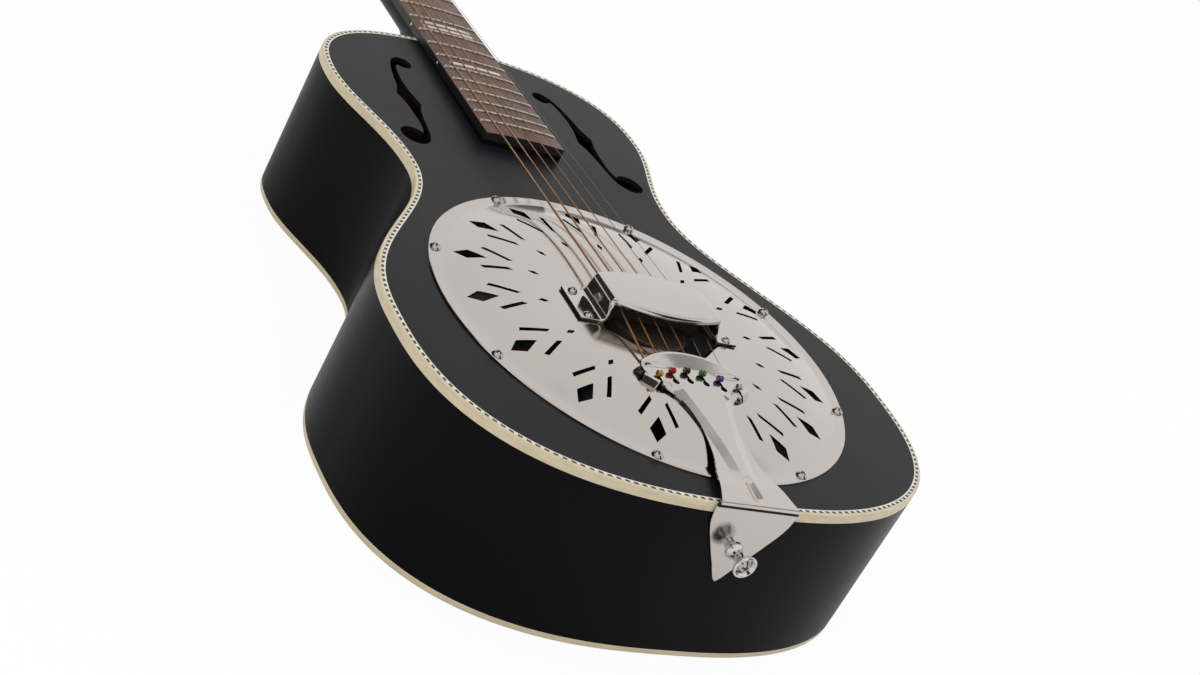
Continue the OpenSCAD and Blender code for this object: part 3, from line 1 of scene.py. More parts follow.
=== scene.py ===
"""Looks of the resonator guitar: the finish of every surface, and the finer shapes of its pieces.

Shapes are worked out in millimetres and become metres when a piece is made. The guitar lies on its
back: +Y runs from tail to head, +X to the treble side, and the origin is below the saddle.
"""
import math
from contextlib import contextmanager

import bmesh
import bpy
import numpy as np
from mathutils import Matrix, Vector
from mathutils.geometry import delaunay_2d_cdt


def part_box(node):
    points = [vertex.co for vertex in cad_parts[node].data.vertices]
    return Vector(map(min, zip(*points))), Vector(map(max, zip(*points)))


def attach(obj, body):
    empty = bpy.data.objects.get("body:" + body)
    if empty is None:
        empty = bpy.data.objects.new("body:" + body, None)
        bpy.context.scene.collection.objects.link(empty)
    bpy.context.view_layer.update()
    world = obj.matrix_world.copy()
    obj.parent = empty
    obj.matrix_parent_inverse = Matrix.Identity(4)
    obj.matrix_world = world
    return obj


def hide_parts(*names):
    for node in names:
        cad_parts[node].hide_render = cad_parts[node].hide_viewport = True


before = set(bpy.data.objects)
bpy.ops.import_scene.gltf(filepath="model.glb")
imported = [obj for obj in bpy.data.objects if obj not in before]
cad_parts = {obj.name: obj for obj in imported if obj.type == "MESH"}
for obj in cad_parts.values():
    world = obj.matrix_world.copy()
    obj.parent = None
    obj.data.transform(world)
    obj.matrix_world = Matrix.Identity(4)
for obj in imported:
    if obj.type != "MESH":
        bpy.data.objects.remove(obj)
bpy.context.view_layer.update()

MM = 0.001
ROOT = "guitar"


def box(node):
    """Lowest and highest corner of a node as two arrays, in millimetres."""
    low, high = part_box(node)
    return np.array(low) / MM, np.array(high) / MM


# ---- Driving sizes, taken from the frame ----

TOP = box("top_board")[1][2]
TOP_UNDER = box("top_board")[0][2]
BACK_T = box("back_board")[1][2]
TAIL = -box("rim")[0][1]
BOUT, BODY_END, _ = box("rim")[1]
BINDING = BOUT - box("purfling")[1][0]
COVER_R = box("coverplate")[1][0]
REST_FOOT, _, REST_TOP = box("handrest")[1]
FOLD_Y = box("tailpiece")[0][1]
_, BRACKET_FACE, BRACKET_LOW = box("tail_bracket")[0]

# ---- Mesh tools ----


def unit(vectors):
    """Each row divided by its own length."""
    return vectors / np.linalg.norm(vectors, axis=-1, keepdims=True)


def soft(t):
    """Nought below nought, one above one, and 3t^2 - 2t^3 between."""
    t = np.clip(t, 0, 1)
    return t * t * (3 - 2 * t)


def lesser(a, b, blur):
    """The lesser of two heights, rounded over: (a + b - sqrt((a - b)^2 + blur)) / 2."""
    return 0.5 * (a + b - np.sqrt((a - b) ** 2 + blur))


def chain(*parts):
    """Rows of points or numbers, one part after another."""
    return np.concatenate(parts)


def abreast(*parts):
    """Numbers side by side, such as x and y, as rows of points."""
    return np.stack(parts, 1)


def full_turn(count):
    return np.linspace(0, 2 * np.pi, count, endpoint=False)


def quarter_turn(count):
    return np.radians(np.linspace(0, 90, count))


def polar(radius, angles):
    """Plan points at one radius."""
    return radius * abreast(np.cos(angles), np.sin(angles))


def grid_quads(rows, columns, loop_rows=False, loop_columns=False):
    """Corner numbers of the quads of a rows by columns grid, closed on itself where asked."""
    i = np.arange(rows if loop_rows else rows - 1)[:, None]
    j = np.arange(columns if loop_columns else columns - 1)[None, :]
    i1, j1 = (i + 1) % rows, (j + 1) % columns
    corners = (i * columns + j, i * columns + j1, i1 * columns + j1, i1 * columns + j)
    return np.stack([np.broadcast_to(c, (i.size, j.size)).ravel() for c in corners], 1)


class Sheet:
    """Points and faces that grow patch by patch into one mesh."""

    def __init__(self):
        self.points, self.faces, self.uvs, self.count, self.mapped = [], [], [], 0, False

    def add(self, points, faces, uv=None):
        """Adds a patch; uv holds one pair for each corner of each face."""
        points = np.asarray(points, float).reshape(-1, 3)
        self.points.append(points)
        self.faces += [face + self.count for face in faces]
        self.uvs += [np.zeros((*face.shape, 2)) for face in faces] if uv is None else [uv]
        self.count += len(points)
        self.mapped |= uv is not None
        return self

    def grid(self, surface, loop_rows=False, uv=None):
        """A patch of closed rings, rows x columns x 3; uv is one larger where it loops."""
        rows, columns = surface.shape[:2]
        if uv is not None:
            uv = uv.reshape(-1, 2)[grid_quads(rows + loop_rows, columns + 1)]
        return self.add(surface, [grid_quads(rows, columns, loop_rows, True)], uv)

    def cap(self, ring, uv=None):
        """A cap over a closed ring of points, as one face."""
        face = np.arange(len(ring))[None, :]
        return self.add(ring, [face], None if uv is None else np.full((1, len(ring), 2), uv))

    def loft(self, rings, uv=None):
        """Closed rings joined one to the next, with a cap on the first and on the last."""
        first, last = (None, None) if uv is None else (uv[0, 0], uv[-1, 0])
        return self.grid(rings, uv=uv).cap(rings[0], first).cap(rings[-1], last)

    def mesh(self, name):
        """The sheet as a mesh in metres, with its map where it has one."""
        points = chain(*self.points) * MM
        sizes = chain(*(np.full(len(f), f.shape[1]) for f in self.faces))
        corners = chain(*(f.ravel() for f in self.faces))
        starts = chain([0], np.cumsum(sizes)[:-1])
        mesh = bpy.data.meshes.new(name)
        mesh.vertices.add(len(points))
        mesh.vertices.foreach_set("co", points.ravel().astype(np.float32))
        mesh.loops.add(len(corners))
        mesh.loops.foreach_set("vertex_index", corners.astype(np.int32))
        mesh.polygons.add(len(sizes))
        mesh.polygons.foreach_set("loop_start", starts.astype(np.int32))
        if self.mapped:
            spots = chain(*(uv.reshape(-1, 2) for uv in self.uvs))
            layer = mesh.uv_layers.new(name="along")
            layer.data.foreach_set("uv", spots.ravel().astype(np.float32))
        mesh.update(calc_edges=True)
        return mesh


@contextmanager
def edited(mesh):
    """A mesh opened for editing and written back at the end."""
    shell = bmesh.new()
    shell.from_mesh(mesh)
    yield shell
    shell.to_mesh(mesh)
    shell.free()


def placed(name, data):
    """A new object of the scene, at the origin, that carries a mesh, a lamp or a camera."""
    made = bpy.data.objects.new(name, data)
    bpy.context.scene.collection.objects.link(made)
    return made


def book(name, mesh, slot, finish, node=None, body=ROOT, crease=35):
    """Welds and smooths a mesh, gives it its finish and body, and hides the node it stands for."""
    with edited(mesh) as shell:
        bmesh.ops.remove_doubles(shell, verts=shell.verts, dist=0.001 * MM)
        bmesh.ops.recalc_face_normals(shell, faces=shell.faces)
    mesh.shade_smooth()
    mesh.set_sharp_from_angle(angle=math.radians(crease))
    mesh.materials.clear()
    mesh.materials.append(finish)
    piece = placed(name, mesh)
    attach(piece, body)
    if node:
        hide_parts(node)
    return piece


def make(name, sheet, *booking, **extras):
    """Turns a sheet into a piece."""
    return book(name, sheet.mesh(name), *booking, **extras)


def softened(node, slot, finish, width=0.0, body=ROOT, crease=35, flat=1.0):
    """A node's own shape with whole flat faces, smooth curves and eased edges."""
    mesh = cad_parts[node].data.copy()
    with edited(mesh) as shell:
        bmesh.ops.remove_doubles(shell, verts=shell.verts, dist=0.002 * MM)
        bmesh.ops.dissolve_limit(shell, angle_limit=math.radians(flat), verts=shell.verts,
                                 edges=shell.edges)
    piece = book(node + "_dressed", mesh, slot, finish, node, body, crease)
    if width:
        bevel(piece, width)


def bevel(piece, width, segments=2):
    """Rounds a piece's sharp edges; the width is in millimetres."""
    step = piece.modifiers.new("edge", "BEVEL")
    step.width, step.segments, step.limit_method = width * MM, segments, "ANGLE"
    step.angle_limit = math.radians(40)


def revolve(profile, centre, axis, steps):
    """Rows (radius, height along the axis) turned about a unit axis through the centre."""
    profile, axis = np.asarray(profile, float), np.asarray(axis, float)
    side = unit(np.cross(axis, (0, 1, 0) if abs(axis[1]) < 0.9 else (1, 0, 0)))
    turn = full_turn(steps)[:, None]
    ring = np.cos(turn) * side + np.sin(turn) * np.cross(axis, side)
    return np.asarray(centre) + profile[:, None, :1] * ring[None] + profile[:, None, 1:] * axis


def rounded(profile, radius, steps):
    """A polyline whose inner corners are rounded: each gives way to a short quadratic curve."""
    profile = np.asarray(profile, float)
    before, corner, after = profile[:-2, None], profile[1:-1, None], profile[2:, None]
    reach = lambda end: radius / np.linalg.norm(end - corner, axis=2, keepdims=True)
    a, b = (corner + (end - corner) * np.minimum(reach(end), 0.45) for end in (before, after))
    t = np.linspace(0, 1, steps + 1)[None, :, None]
    curve = (1 - t) ** 2 * a + 2 * t * (1 - t) * corner + t ** 2 * b
    return chain(profile[:1], curve.reshape(-1, profile.shape[1]), profile[-1:])


def smooth_line(points, steps):
    """A Catmull-Rom curve through the points, in so many steps from one to the next."""
    p = np.asarray(points, float)
    p = chain(2 * p[:1] - p[1:2], p, 2 * p[-1:] - p[-2:-1])
    t = np.linspace(0, 1, steps, endpoint=False)[None, :, None]
    a, b, c, d = (p[k:len(p) - 3 + k, None, :] for k in range(4))
    curve = 0.5 * (2 * b + (c - a) * t + (2 * a - 5 * b + 4 * c - d) * t ** 2
                   + (3 * b - a - 3 * c + d) * t ** 3)
    return chain(curve.reshape(-1, p.shape[1]), p[-2:-1])


def resample(line, step, closed=False):
    """Points at even distances along a polyline; both ends are kept, or it is closed on itself."""
    line = np.asarray(line, float)
    if closed:
        line = chain(line, line[:1])
    along = lengths(line)
    at = np.linspace(0, along[-1], max(2, int(round(along[-1] / step)) + 1))
    even = np.stack([np.interp(at, along, line[:, k]) for k in range(line.shape[1])], 1)
    return even[:-1] if closed else even


def lengths(line):
    """How far along a polyline each of its points lies."""
    return chain([0], np.cumsum(np.linalg.norm(np.diff(line, axis=0), axis=1)))


def edged(ring, step):
    """A closed ring with its corners kept and points added along its sides."""
    ring = np.asarray(ring, float)
    return chain(*(resample([a, b], step)[:-1] for a, b in zip(ring, np.roll(ring, -1, 0))))


def mirrored(half):
    """A half outline on the +X side, from one point of the middle line to the other, made whole."""
    half = np.asarray(half, float)
    back = half[::-1]
    return chain(half, (back * (-1, 1))[np.abs(back[:, 0]) > 0.001])


def turned(points, degrees, centre=(0, 0)):
    """Plan points turned about the origin and moved to a centre."""
    a = math.radians(degrees)
    spin = np.array([[math.cos(a), math.sin(a)], [-math.sin(a), math.cos(a)]])
    return np.asarray(points, float) @ spin + centre


def beside(line):
    """The unit normal on the left of each point of an open plan line."""
    along = unit(np.gradient(line, axis=0))
    return abreast(-along[:, 1], along[:, 0])


def moved_in(ring, gap):
    """A closed anticlockwise ring moved inwards along its own normals."""
    along = unit(np.roll(ring, -1, 0) - np.roll(ring, 1, 0))
    return ring - gap * abreast(along[:, 1], -along[:, 0])


def stacked(ring, profile):
    """A plan ring carried through rows of (gap inwards, height), as a grid of points."""
    return np.array([np.column_stack([moved_in(ring, gap), np.full(len(ring), z)])
                     for gap, z in profile])


def anticlockwise(ring):
    """The ring, turned round if it runs clockwise."""
    after = np.roll(ring, -1, 0)
    return ring if (ring[:, 0] * after[:, 1] - ring[:, 1] * after[:, 0]).sum() > 0 else ring[::-1]


def joined(ring, centre, radius):
    """A closed anticlockwise ring joined with a circle that it crosses once in and once out."""
    apart = np.linalg.norm(ring - centre, axis=1) > radius
    start = np.flatnonzero(apart & ~np.roll(apart, 1))[0]
    free = np.roll(ring, -start, 0)[np.roll(apart, -start)]
    a0, a1 = (math.atan2(y, x) for x, y in (free[-1] - centre, free[0] - centre))
    turn = np.linspace(a0, a1 + 2 * np.pi * (a1 < a0), 40)[1:-1]
    return chain(free, centre + polar(radius, turn))


def inside(points, ring):
    """True for each plan point that lies inside a closed plan ring, by counting crossed edges."""
    found = np.zeros(len(points), bool)
    near = np.flatnonzero(((points >= ring.min(0)) & (points <= ring.max(0))).all(1))
    x, y = points[near, 0][:, None], points[near, 1][:, None]
    a, b = ring, np.roll(ring, -1, 0)
    crosses = (a[:, 1] > y) != (b[:, 1] > y)
    with np.errstate(divide="ignore", invalid="ignore"):
        at = (b[:, 0] - a[:, 0]) * (y - a[:, 1]) / (b[:, 1] - a[:, 1]) + a[:, 0]
    found[near] = (crosses & (x < at)).sum(1) % 2 == 1
    return found


def nearest(points, lines):
    """Distance from each point to the nearest of the lines' points."""
    spots = chain(*lines)
    return chain(*(np.linalg.norm(chunk[:, None] - spots[None], axis=2).min(1)
                   for chunk in np.array_split(points, max(1, len(points) // 1500))))


def plate(outline, holes, filling, height, thickness, spacing):
    """A pressed sheet: its plan is the outline less the holes, its upper face the height over it.

    The plan is cut into triangles whose corners are the edge points and the filling points. The
    lower face is the upper one moved down by the thickness, and walls join them along every edge.
    """
    def kept(points):
        keep = inside(points, outline)
        for hole in holes:
            keep &= ~inside(points, hole)
        return keep

    rings = [outline, *holes]
    filling = filling[kept(filling)]
    filling = filling[nearest(filling, rings) > 0.5 * spacing]
    starts = np.cumsum([0] + [len(ring) for ring in rings])
    edges = [(int(s + k), int(s + (k + 1) % len(ring))) for s, ring in zip(starts, rings)
             for k in range(len(ring))]
    spots, _, triangles, *_ = delaunay_2d_cdt(
        [Vector(p) for p in chain(*rings, filling)], edges, [], 0, 1e-6)
    spots, triangles = np.array([tuple(p) for p in spots]), np.array(triangles)
    triangles = triangles[kept(spots[triangles].mean(1))]
    a, b, c = (spots[triangles[:, k]] for k in range(3))
    clockwise = ((b[:, 0] - a[:, 0]) * (c[:, 1] - a[:, 1])
                 < (b[:, 1] - a[:, 1]) * (c[:, 0] - a[:, 0]))
    triangles[clockwise] = triangles[clockwise][:, ::-1]
    upper = np.column_stack([spots, height(*spots.T)])
    lower = upper - np.column_stack([0 * spots, thickness(*spots.T)])
    sides = chain(triangles[:, [0, 1]], triangles[:, [1, 2]], triangles[:, [2, 0]])
    _, first, counts = np.unique(np.sort(sides, 1), axis=0, return_index=True, return_counts=True)
    a, b = sides[first[counts == 1]].T
    count = len(spots)
    walls = abreast(b, a, a + count, b + count)
    return Sheet().add(chain(upper, lower), [triangles, triangles[:, ::-1] + count, walls])


def level(value):
    """One height or thickness for a whole plan."""
    return lambda x, y: np.full(len(x), value)


def rings_about(y, radii, count):
    """Plan points on circles about a point of the middle line, in step from one to the next."""
    return chain(*(polar(r, full_turn(count)) for r in radii)) + (0, y)


def square_filling(low, high, step):
    """Plan points on a lattice, every other row moved by half a step."""
    x, y = np.meshgrid(np.arange(low[0], high[0], step), np.arange(low[1], high[1], step))
    x = x + 0.5 * step * (np.arange(len(x)) % 2)[:, None]
    return abreast(x.ravel(), y.ravel())


def swept(path, radius, sides):
    """A round tube: rings round each point of a path, kept from twisting by one reference."""
    along = unit(np.gradient(path, axis=0))
    side = unit(np.cross(along, np.where(np.abs(along[:, 2:]) > 0.9, (0, 1.0, 0), (0, 0, 1.0))))
    other = np.cross(side, along)
    turn = full_turn(sides)[None, :, None]
    return path[:, None] + radius * (np.cos(turn) * side[:, None] + np.sin(turn) * other[:, None])


def prism(outline, lift):
    """A flat outline of 3-D points carried by a vector, with both ends capped."""
    return Sheet().loft(np.stack([outline, outline + np.asarray(lift)]))


def grid_of(*parts):
    """A grid of points or map corners: x, y and z, or u and v, each spread over all of it."""
    return np.stack(np.broadcast_arrays(*parts), 2)


# ---- Shader tools ----


class Socket:
    """One output of a shader node, on which Python's operators add Math nodes."""

    def __init__(self, maker, link):
        self.maker, self.link = maker, link

    def _math(self, operation, *others, flip=False):
        values = (self, *others)[::-1 if flip else 1]
        return self.maker.node("ShaderNodeMath", dict(enumerate(values)), operation=operation)[0]

    def __add__(self, other): return self._math("ADD", other)
    __radd__ = __add__
    def __mul__(self, other): return self._math("MULTIPLY", other)
    def __sub__(self, other): return self._math("SUBTRACT", other)
    def __rsub__(self, other): return self._math("SUBTRACT", other, flip=True)
    def __gt__(self, other): return self._math("GREATER_THAN", other)
    def __lt__(self, other): return self._math("LESS_THAN", other)
    def __pow__(self, other): return self._math("POWER", other)
    def __abs__(self): return self._math("ABSOLUTE")
    def fract(self): return self._math("FRACT")
    def sine(self): return self._math("SINE")
    def larger(self, other): return self._math("MAXIMUM", other)
    def smaller(self, other): return self._math("MINIMUM", other)


class Shader:
    """A node tree under construction."""

    def __init__(self, tree):
        self.tree = tree

    def feed(self, target, value):
        """Links an output to a node's input, or sets the input's constant."""
        if isinstance(value, Socket):
            self.tree.links.new(value.link, target)
        else:
            target.default_value = value

    def node(self, kind, inputs=(), **settings):
        """Adds a node: its settings first, then its inputs; returns its outputs."""
        made = self.tree.nodes.new(kind)
        for key, value in settings.items():
            setattr(made, key, value)
        for key, value in dict(inputs).items():
            self.feed(made.inputs[key], value)
        return [Socket(self, out) for out in made.outputs]

    def ray(self, kind):
        """One where the ray that looks is of a kind, such as Camera."""
        rays = self.node("ShaderNodeLightPath")
        return next(out for out in rays if out.link.name == "Is %s Ray" % kind)

    def glow(self, kind, strength=1.0):
        """A white light as a background or an emission."""
        return self.node(kind, {"Color": (1, 1, 1, 1), "Strength": strength})[0]

    def output(self, name, factor, first, second):
        """Mixes two shaders into the tree's output node."""
        mix = self.node("ShaderNodeMixShader", {0: factor, 1: first, 2: second})[0]
        self.feed(self.tree.nodes[name].inputs[0], mix)


class Finish(Shader):
    """A material with one principled surface."""

    def __init__(self, name, color, roughness, metallic=0.0, **fixed):
        self.material = bpy.data.materials.new(name)
        self.material.use_nodes = True
        self.material.diffuse_color = (*color, 1)
        super().__init__(self.material.node_tree)
        self.surface = self.tree.nodes["Principled BSDF"]
        self.set("Base Color", (*color, 1)).set("Roughness", roughness).set("Metallic", metallic)
        for socket, value in fixed.items():
            self.set(socket.replace("_", " "), value)

    def set(self, socket, value):
        self.feed(self.surface.inputs[socket], value)
        return self

    def place(self, scale=(1, 1, 1), turn=(0, 0, 0)):
        """Object coordinates, turned and scaled."""
        where = self.node("ShaderNodeTexCoord")[3]
        return self.node("ShaderNodeMapping",
                         {"Vector": where, "Scale": scale, "Rotation": turn})[0]

    def split(self, vector):
        return self.node("ShaderNodeSeparateXYZ", {0: vector})

    def along(self):
        """The piece's own map: how far along it and how far round it."""
        return self.split(self.node("ShaderNodeTexCoord")[2])

    def noise(self, scale, detail, roughness=0.5, vector=None, distortion=0.0):
        return self.node("ShaderNodeTexNoise", {
            "Vector": vector or self.place(), "Scale": scale, "Detail": detail,
            "Roughness": roughness, "Distortion": distortion})[0]

    def span(self, value, low, high, to_low=0.0, to_high=1.0):
        """A value carried from one range to another and held there."""
        return self.node("ShaderNodeMapRange", {0: value, 1: low, 2: high, 3: to_low, 4: to_high},
                         clamp=True)[0]

    def patches(self, low, high, *noise):
        """Noise that rises from nought to one between two of its levels."""
        return self.span(self.noise(*noise), low, high)

    def blend(self, factor, *colors):
        """A colour mixed from two colours."""
        first, second = (c if isinstance(c, Socket) else (*c, 1) for c in colors)
        return self.node("ShaderNodeMix", {0: factor, 6: first, 7: second}, data_type="RGBA")[2]

    def paint(self, factor, *colors):
        return self.set("Base Color", self.blend(factor, *colors))

    def ramp(self, value, stops, between="LINEAR"):
        """A colour read off a row of (position, colour) stops."""
        color = self.node("ShaderNodeValToRGB", {0: value})[0]
        ramp = color.link.node.color_ramp
        ramp.interpolation = between
        while len(ramp.elements) < len(stops):
            ramp.elements.new(0.5)
        for stop, (position, tint) in zip(ramp.elements, stops):
            stop.position, stop.color = position, (*tint, 1)
        return color

    def bump(self, height, depth):
        """Raises the surface by height times depth, in millimetres, and ends the material."""
        normal = self.node("ShaderNodeBump", {
            "Height": height, "Distance": depth * MM, "Strength": 1.0})[0]
        return self.set("Normal", normal).material


# ---- Studio ----

LENS_MM = 62.48
SENSOR_MM = 36
CAMERA_AT = Vector((-0.68078, -0.81023, 0.59424))
# The camera's right, up and back directions
CAMERA_AXES = ((0.80999, -0.38447, 0.44283), (-0.14488, 0.60051, 0.78638),
               (-0.56826, -0.70112, 0.43071))
SKY_LIGHT = 0.75
FLOOR_LIFT = 0.92
FLOOR_REACH = 14.0
FLOOR_Z = -0.0002
DARK_CARD = Finish("flag_card", (0.05, 0.045, 0.04), 0.9, Specular_IOR_Level=0.0).material
GREY_CARD = Finish("grey_card", (0.5, 0.5, 0.5), 0.9, Specular_IOR_Level=0.0).material
# Each card is a wall: its two plan points, its lower and upper edge, and its finish
CARDS = (((-0.35, 3.2), (-2.6, 1.6), 0, 4.4, DARK_CARD),
         ((-2.6, 1.6), (-2.6, -0.6), 0, 2.8, DARK_CARD),
         ((-2.5, -1.6), (-1.3, -2.7), 0.9, 2.8, DARK_CARD),
         ((1.2, -2.5), (4.0, -2.3), 0, 4.4, DARK_CARD),
         ((2.05, 3.4), (0.5, 3.4), 6.45, 9.0, GREY_CARD),
         ((3.28, 0.85), (3.06, 1.45), 3.05, 6.6, GREY_CARD))
# Each lamp's name, place, aim, width and power
LAMPS = (("key", (-1.1, -0.9, 1.7), (0, 0.15, 0.05), 1.3, 14),
         ("fill", (1.5, 0.2, 1.5), (0, 0.2, 0.05), 1.7, 9),
         ("back", (-0.4, 1.9, 1.5), (0, 0.3, 0.05), 1.5, 8))


def camera():
    """The camera: its right, up and back directions are the columns of its turn."""
    lens = bpy.data.cameras.new("camera")
    lens.lens, lens.sensor_width = LENS_MM, SENSOR_MM
    lens.dof.use_dof = False
    lens.clip_start, lens.clip_end = 0.05, 50
    eye = placed("camera", lens)
    eye.matrix_world = Matrix.Translation(CAMERA_AT) @ Matrix(CAMERA_AXES).transposed().to_4x4()
    bpy.context.scene.camera = eye


def lamps():
    """Square soft lamps that face their aims; polished metal does not show them."""
    for name, place, aim, size, power in LAMPS:
        data = bpy.data.lights.new(name, "AREA")
        data.shape, data.size, data.energy = "SQUARE", size, power
        light = placed(name, data)
        light.visible_glossy = False
        light.location = place
        light.rotation_euler = (Vector(aim) - Vector(place)).to_track_quat("-Z", "Y").to_euler()


def open_sky():
    """A world that is white where seen or mirrored, and lights matt surfaces a little less."""
    world = bpy.data.worlds.new("studio")
    world.use_nodes = True
    bpy.context.scene.world = world
    sky = Shader(world.node_tree)
    shown = sky.ray("Camera").larger(sky.ray("Glossy")).larger(sky.ray("Transmission"))
    kind = "ShaderNodeBackground"
    sky.output("World Output", shown, sky.glow(kind, SKY_LIGHT), sky.glow(kind))


def panel(name, corners, finish):
    """A four-cornered sheet of the studio."""
    mesh = bpy.data.meshes.new(name)
    mesh.from_pydata(corners, [], [(0, 1, 2, 3)])
    mesh.materials.append(finish)
    made = placed(name, mesh)
    return made


def floor():
    """A wide pale floor that stays nearly white where nothing shades it."""
    pale = Finish("floor_paper", (0.86, 0.86, 0.86), 0.9, Specular_IOR_Level=0.1)
    pale.output("Material Output", pale.ray("Camera") * FLOOR_LIFT,
                Socket(pale, pale.surface.outputs[0]), pale.glow("ShaderNodeEmission"))
    panel("floor", [(x * FLOOR_REACH, y * FLOOR_REACH, FLOOR_Z)
                    for x, y in ((-1, -1), (1, -1), (1, 1), (-1, 1))], pale.material)


def cards():
    """Studio cards, four dark and two grey, that only polished metal shows."""
    for k, (a, b, low, high, finish) in enumerate(CARDS):
        card = panel("card_%d" % k, [(*a, low), (*b, low), (*b, high), (*a, high)], finish)
        card.visible_camera = card.visible_diffuse = card.visible_shadow = False


# ---- Finishes ----

# The ball ends' colour row: one stop for each string and one spare
BALL_STOPS = 7


def times(share, color):
    return tuple(share * c for c in color)


def lacquer(name, color, roughness, gloss):
    """Satin lacquer: a faint orange peel, with rubbed patches that shine a little more."""
    made = Finish(name, color, roughness, Specular_IOR_Level=gloss)
    worn = made.noise(9, 3) * 0.7 + made.noise(60, 4, 0.6, made.place((1, 0.12, 1))) * 0.3
    made.set("Roughness", made.span(worn, 0.3, 0.7, roughness - 0.05, roughness + 0.06))
    made.paint(made.patches(0.35, 0.65, 5, 2), times(0.8, color), times(1.2, color))
    return made.bump(made.noise(420, 2), 0.012)


def plated(name, color, roughness, wave=0.02, brushed=0.0):
    """Polished plate: dull fingered patches, buffing lines and a sheet that waves a little."""
    made = Finish(name, color, roughness, 1.0)
    dull = made.patches(0.38, 0.66, 26, 3, 0.6)
    lines = made.noise(900, 2, 0.5, made.place((0.06, 1, 0.3), (0, 0, 0.5)))
    made.set("Roughness", roughness + dull * 0.06 + lines * (0.05 + brushed))
    made.paint(made.patches(0.3, 0.7, 7, 3), times(0.93, color), color)
    return made.bump(made.noise(14, 2) + lines * 0.02, wave)


def moulded(name, color, roughness, streak=(1, 1, 1), depth=0.006, veins=0.12):
    """Plastic or bone: cloudy colour drawn out in one direction, with fine polishing marks."""
    made = Finish(name, color, roughness)
    made.paint(made.patches(0.32, 0.68, 70, 4, 0.6, made.place(streak)),
               times(1 - veins, color), times(1 + 0.5 * veins, color))
    marks = made.noise(130, 3)
    made.set("Roughness", made.span(marks, 0.3, 0.7, roughness - 0.06, roughness + 0.08))
    return made.bump(made.noise(900, 2, 0.5, made.place(streak)), depth)


def timber(name, light, dark, roughness, along=(1, 0.06, 1), figure=90, pores=0.02):
    """Bare or oiled wood: growth bands and open pores drawn out along the grain."""
    made = Finish(name, light, roughness, Specular_IOR_Level=0.3)
    grain = made.noise(figure, 5, 0.62, made.place(along), 0.6)
    pore = made.patches(0.56, 0.68, figure * 11, 3, 0.6, made.place(along))
    bands = made.ramp(grain, ((0.3, dark), (0.52, light), (0.62, times(0.82, light)), (0.74, dark)))
    made.paint(pore * 0.7, bands, times(0.5, dark))
    made.set("Roughness", made.span(grain, 0.3, 0.7, roughness - 0.07, roughness + 0.1))
    return made.bump(grain * 0.4 - pore, pores)


def checkered():
    """Purfling: a row of black and ivory tiles, an ivory line and a black hair; u runs in tiles."""
    made = Finish("checker_strip", (0.6, 0.57, 0.48), 0.35)
    tiles, across, _ = made.along()
    tile = ((tiles * 0.5 + across * 0.2).fract() > 0.56) * (across < 0.6) * (across > 0.04)
    line = (across > 0.6) * (across < 0.88)
    cloud = made.patches(0.3, 0.7, 150, 2)
    ivory = made.blend(cloud, (0.56, 0.52, 0.43), (0.68, 0.64, 0.55))
    made.paint(tile + line, (0.006, 0.006, 0.006), ivory)
    made.set("Roughness", made.span(cloud, 0, 1, 0.3, 0.42))
    return made.bump(tile + line, 0.01)


def spun(name, color, roughness, pitch):
    """Spun sheet: fine rings about the guitar's own upright axis, bright on their crests."""
    made = Finish(name, color, roughness, 1.0)
    x, y, _ = made.split(made.place())
    rings = ((x * x + y * y) ** 0.5 * (2 * math.pi / (pitch * MM))).sine()
    dull = made.patches(0.35, 0.65, 30, 3)
    made.set("Roughness", roughness + dull * 0.1 + rings * 0.04)
    made.paint(dull, times(0.85, color), color)
    return made.bump(rings, 0.02)


def board_wood():
    """Oiled rosewood whose sides are blacked; the map's v is one on the playing face."""
    made = Finish("rosewood_board", (0.1, 0.055, 0.035), 0.5, Specular_IOR_Level=0.35)
    _, face, _ = made.along()
    grain = made.noise(150, 5, 0.65, made.place((1, 0.05, 1)), 0.8)
    pore = made.patches(0.55, 0.66, 1500, 3, 0.6, made.place((1, 0.045, 1)))
    bands = made.ramp(grain, ((0.3, (0.045, 0.021, 0.014)), (0.47, (0.105, 0.050, 0.031)),
                              (0.58, (0.140, 0.070, 0.043)), (0.72, (0.06, 0.028, 0.018))))
    brown = made.blend(pore * 0.75, bands, (0.02, 0.011, 0.008))
    worn = made.patches(0.35, 0.7, 16, 3)
    made.paint(face > 0.5, (0.012, 0.011, 0.011), brown)
    made.set("Roughness", 0.4 + worn * 0.12 + pore * 0.2)
    return made.bump(grain * 0.35 - pore, 0.03)


def winding(name, color, dark):
    """Wire wound round a core: each turn is a round ridge; u counts turns, v goes once round."""
    made = Finish(name, color, 0.28, 1.0)
    turns, around, _ = made.along()
    ridge = abs(((turns + around).fract() - 0.5) * 2)
    grime = made.patches(0.35, 0.7, 60, 3)
    # Crests take the light bronze and the grooves between turns the dark tone: painted shade in the
    # grooves; the grime patches lighten it at random.
    made.paint((1 - ridge) * 0.35 + grime * 0.25, dark, color)
    made.set("Roughness", 0.22 + grime * 0.14)
    return made.bump(1 - ridge * ridge, 0.09)


def ball_colours():
    """Coloured ball ends: u picks the colour, and the bare metal shows where v is near one."""
    made = Finish("ball_end_colours", (0.6, 0.4, 0.1), 0.3, 0.85)
    pick, bare, _ = made.along()
    row = ((0.62, 0.36, 0.06), (0.42, 0.012, 0.014), (0.012, 0.012, 0.014), (0.004, 0.20, 0.075),
           (0.13, 0.045, 0.36), (0.62, 0.6, 0.58), (0.55, 0.42, 0.22))
    tint = made.ramp(pick, [(k / BALL_STOPS, color) for k, color in enumerate(row)], "CONSTANT")
    scuffs = made.patches(0.6, 0.7, 700, 3)
    made.paint((bare + scuffs * 0.35).smaller(1.0), tint, (0.6, 0.47, 0.27))
    made.set("Roughness", 0.24 + scuffs * 0.2)
    return made.bump(made.noise(500, 2), 0.01)


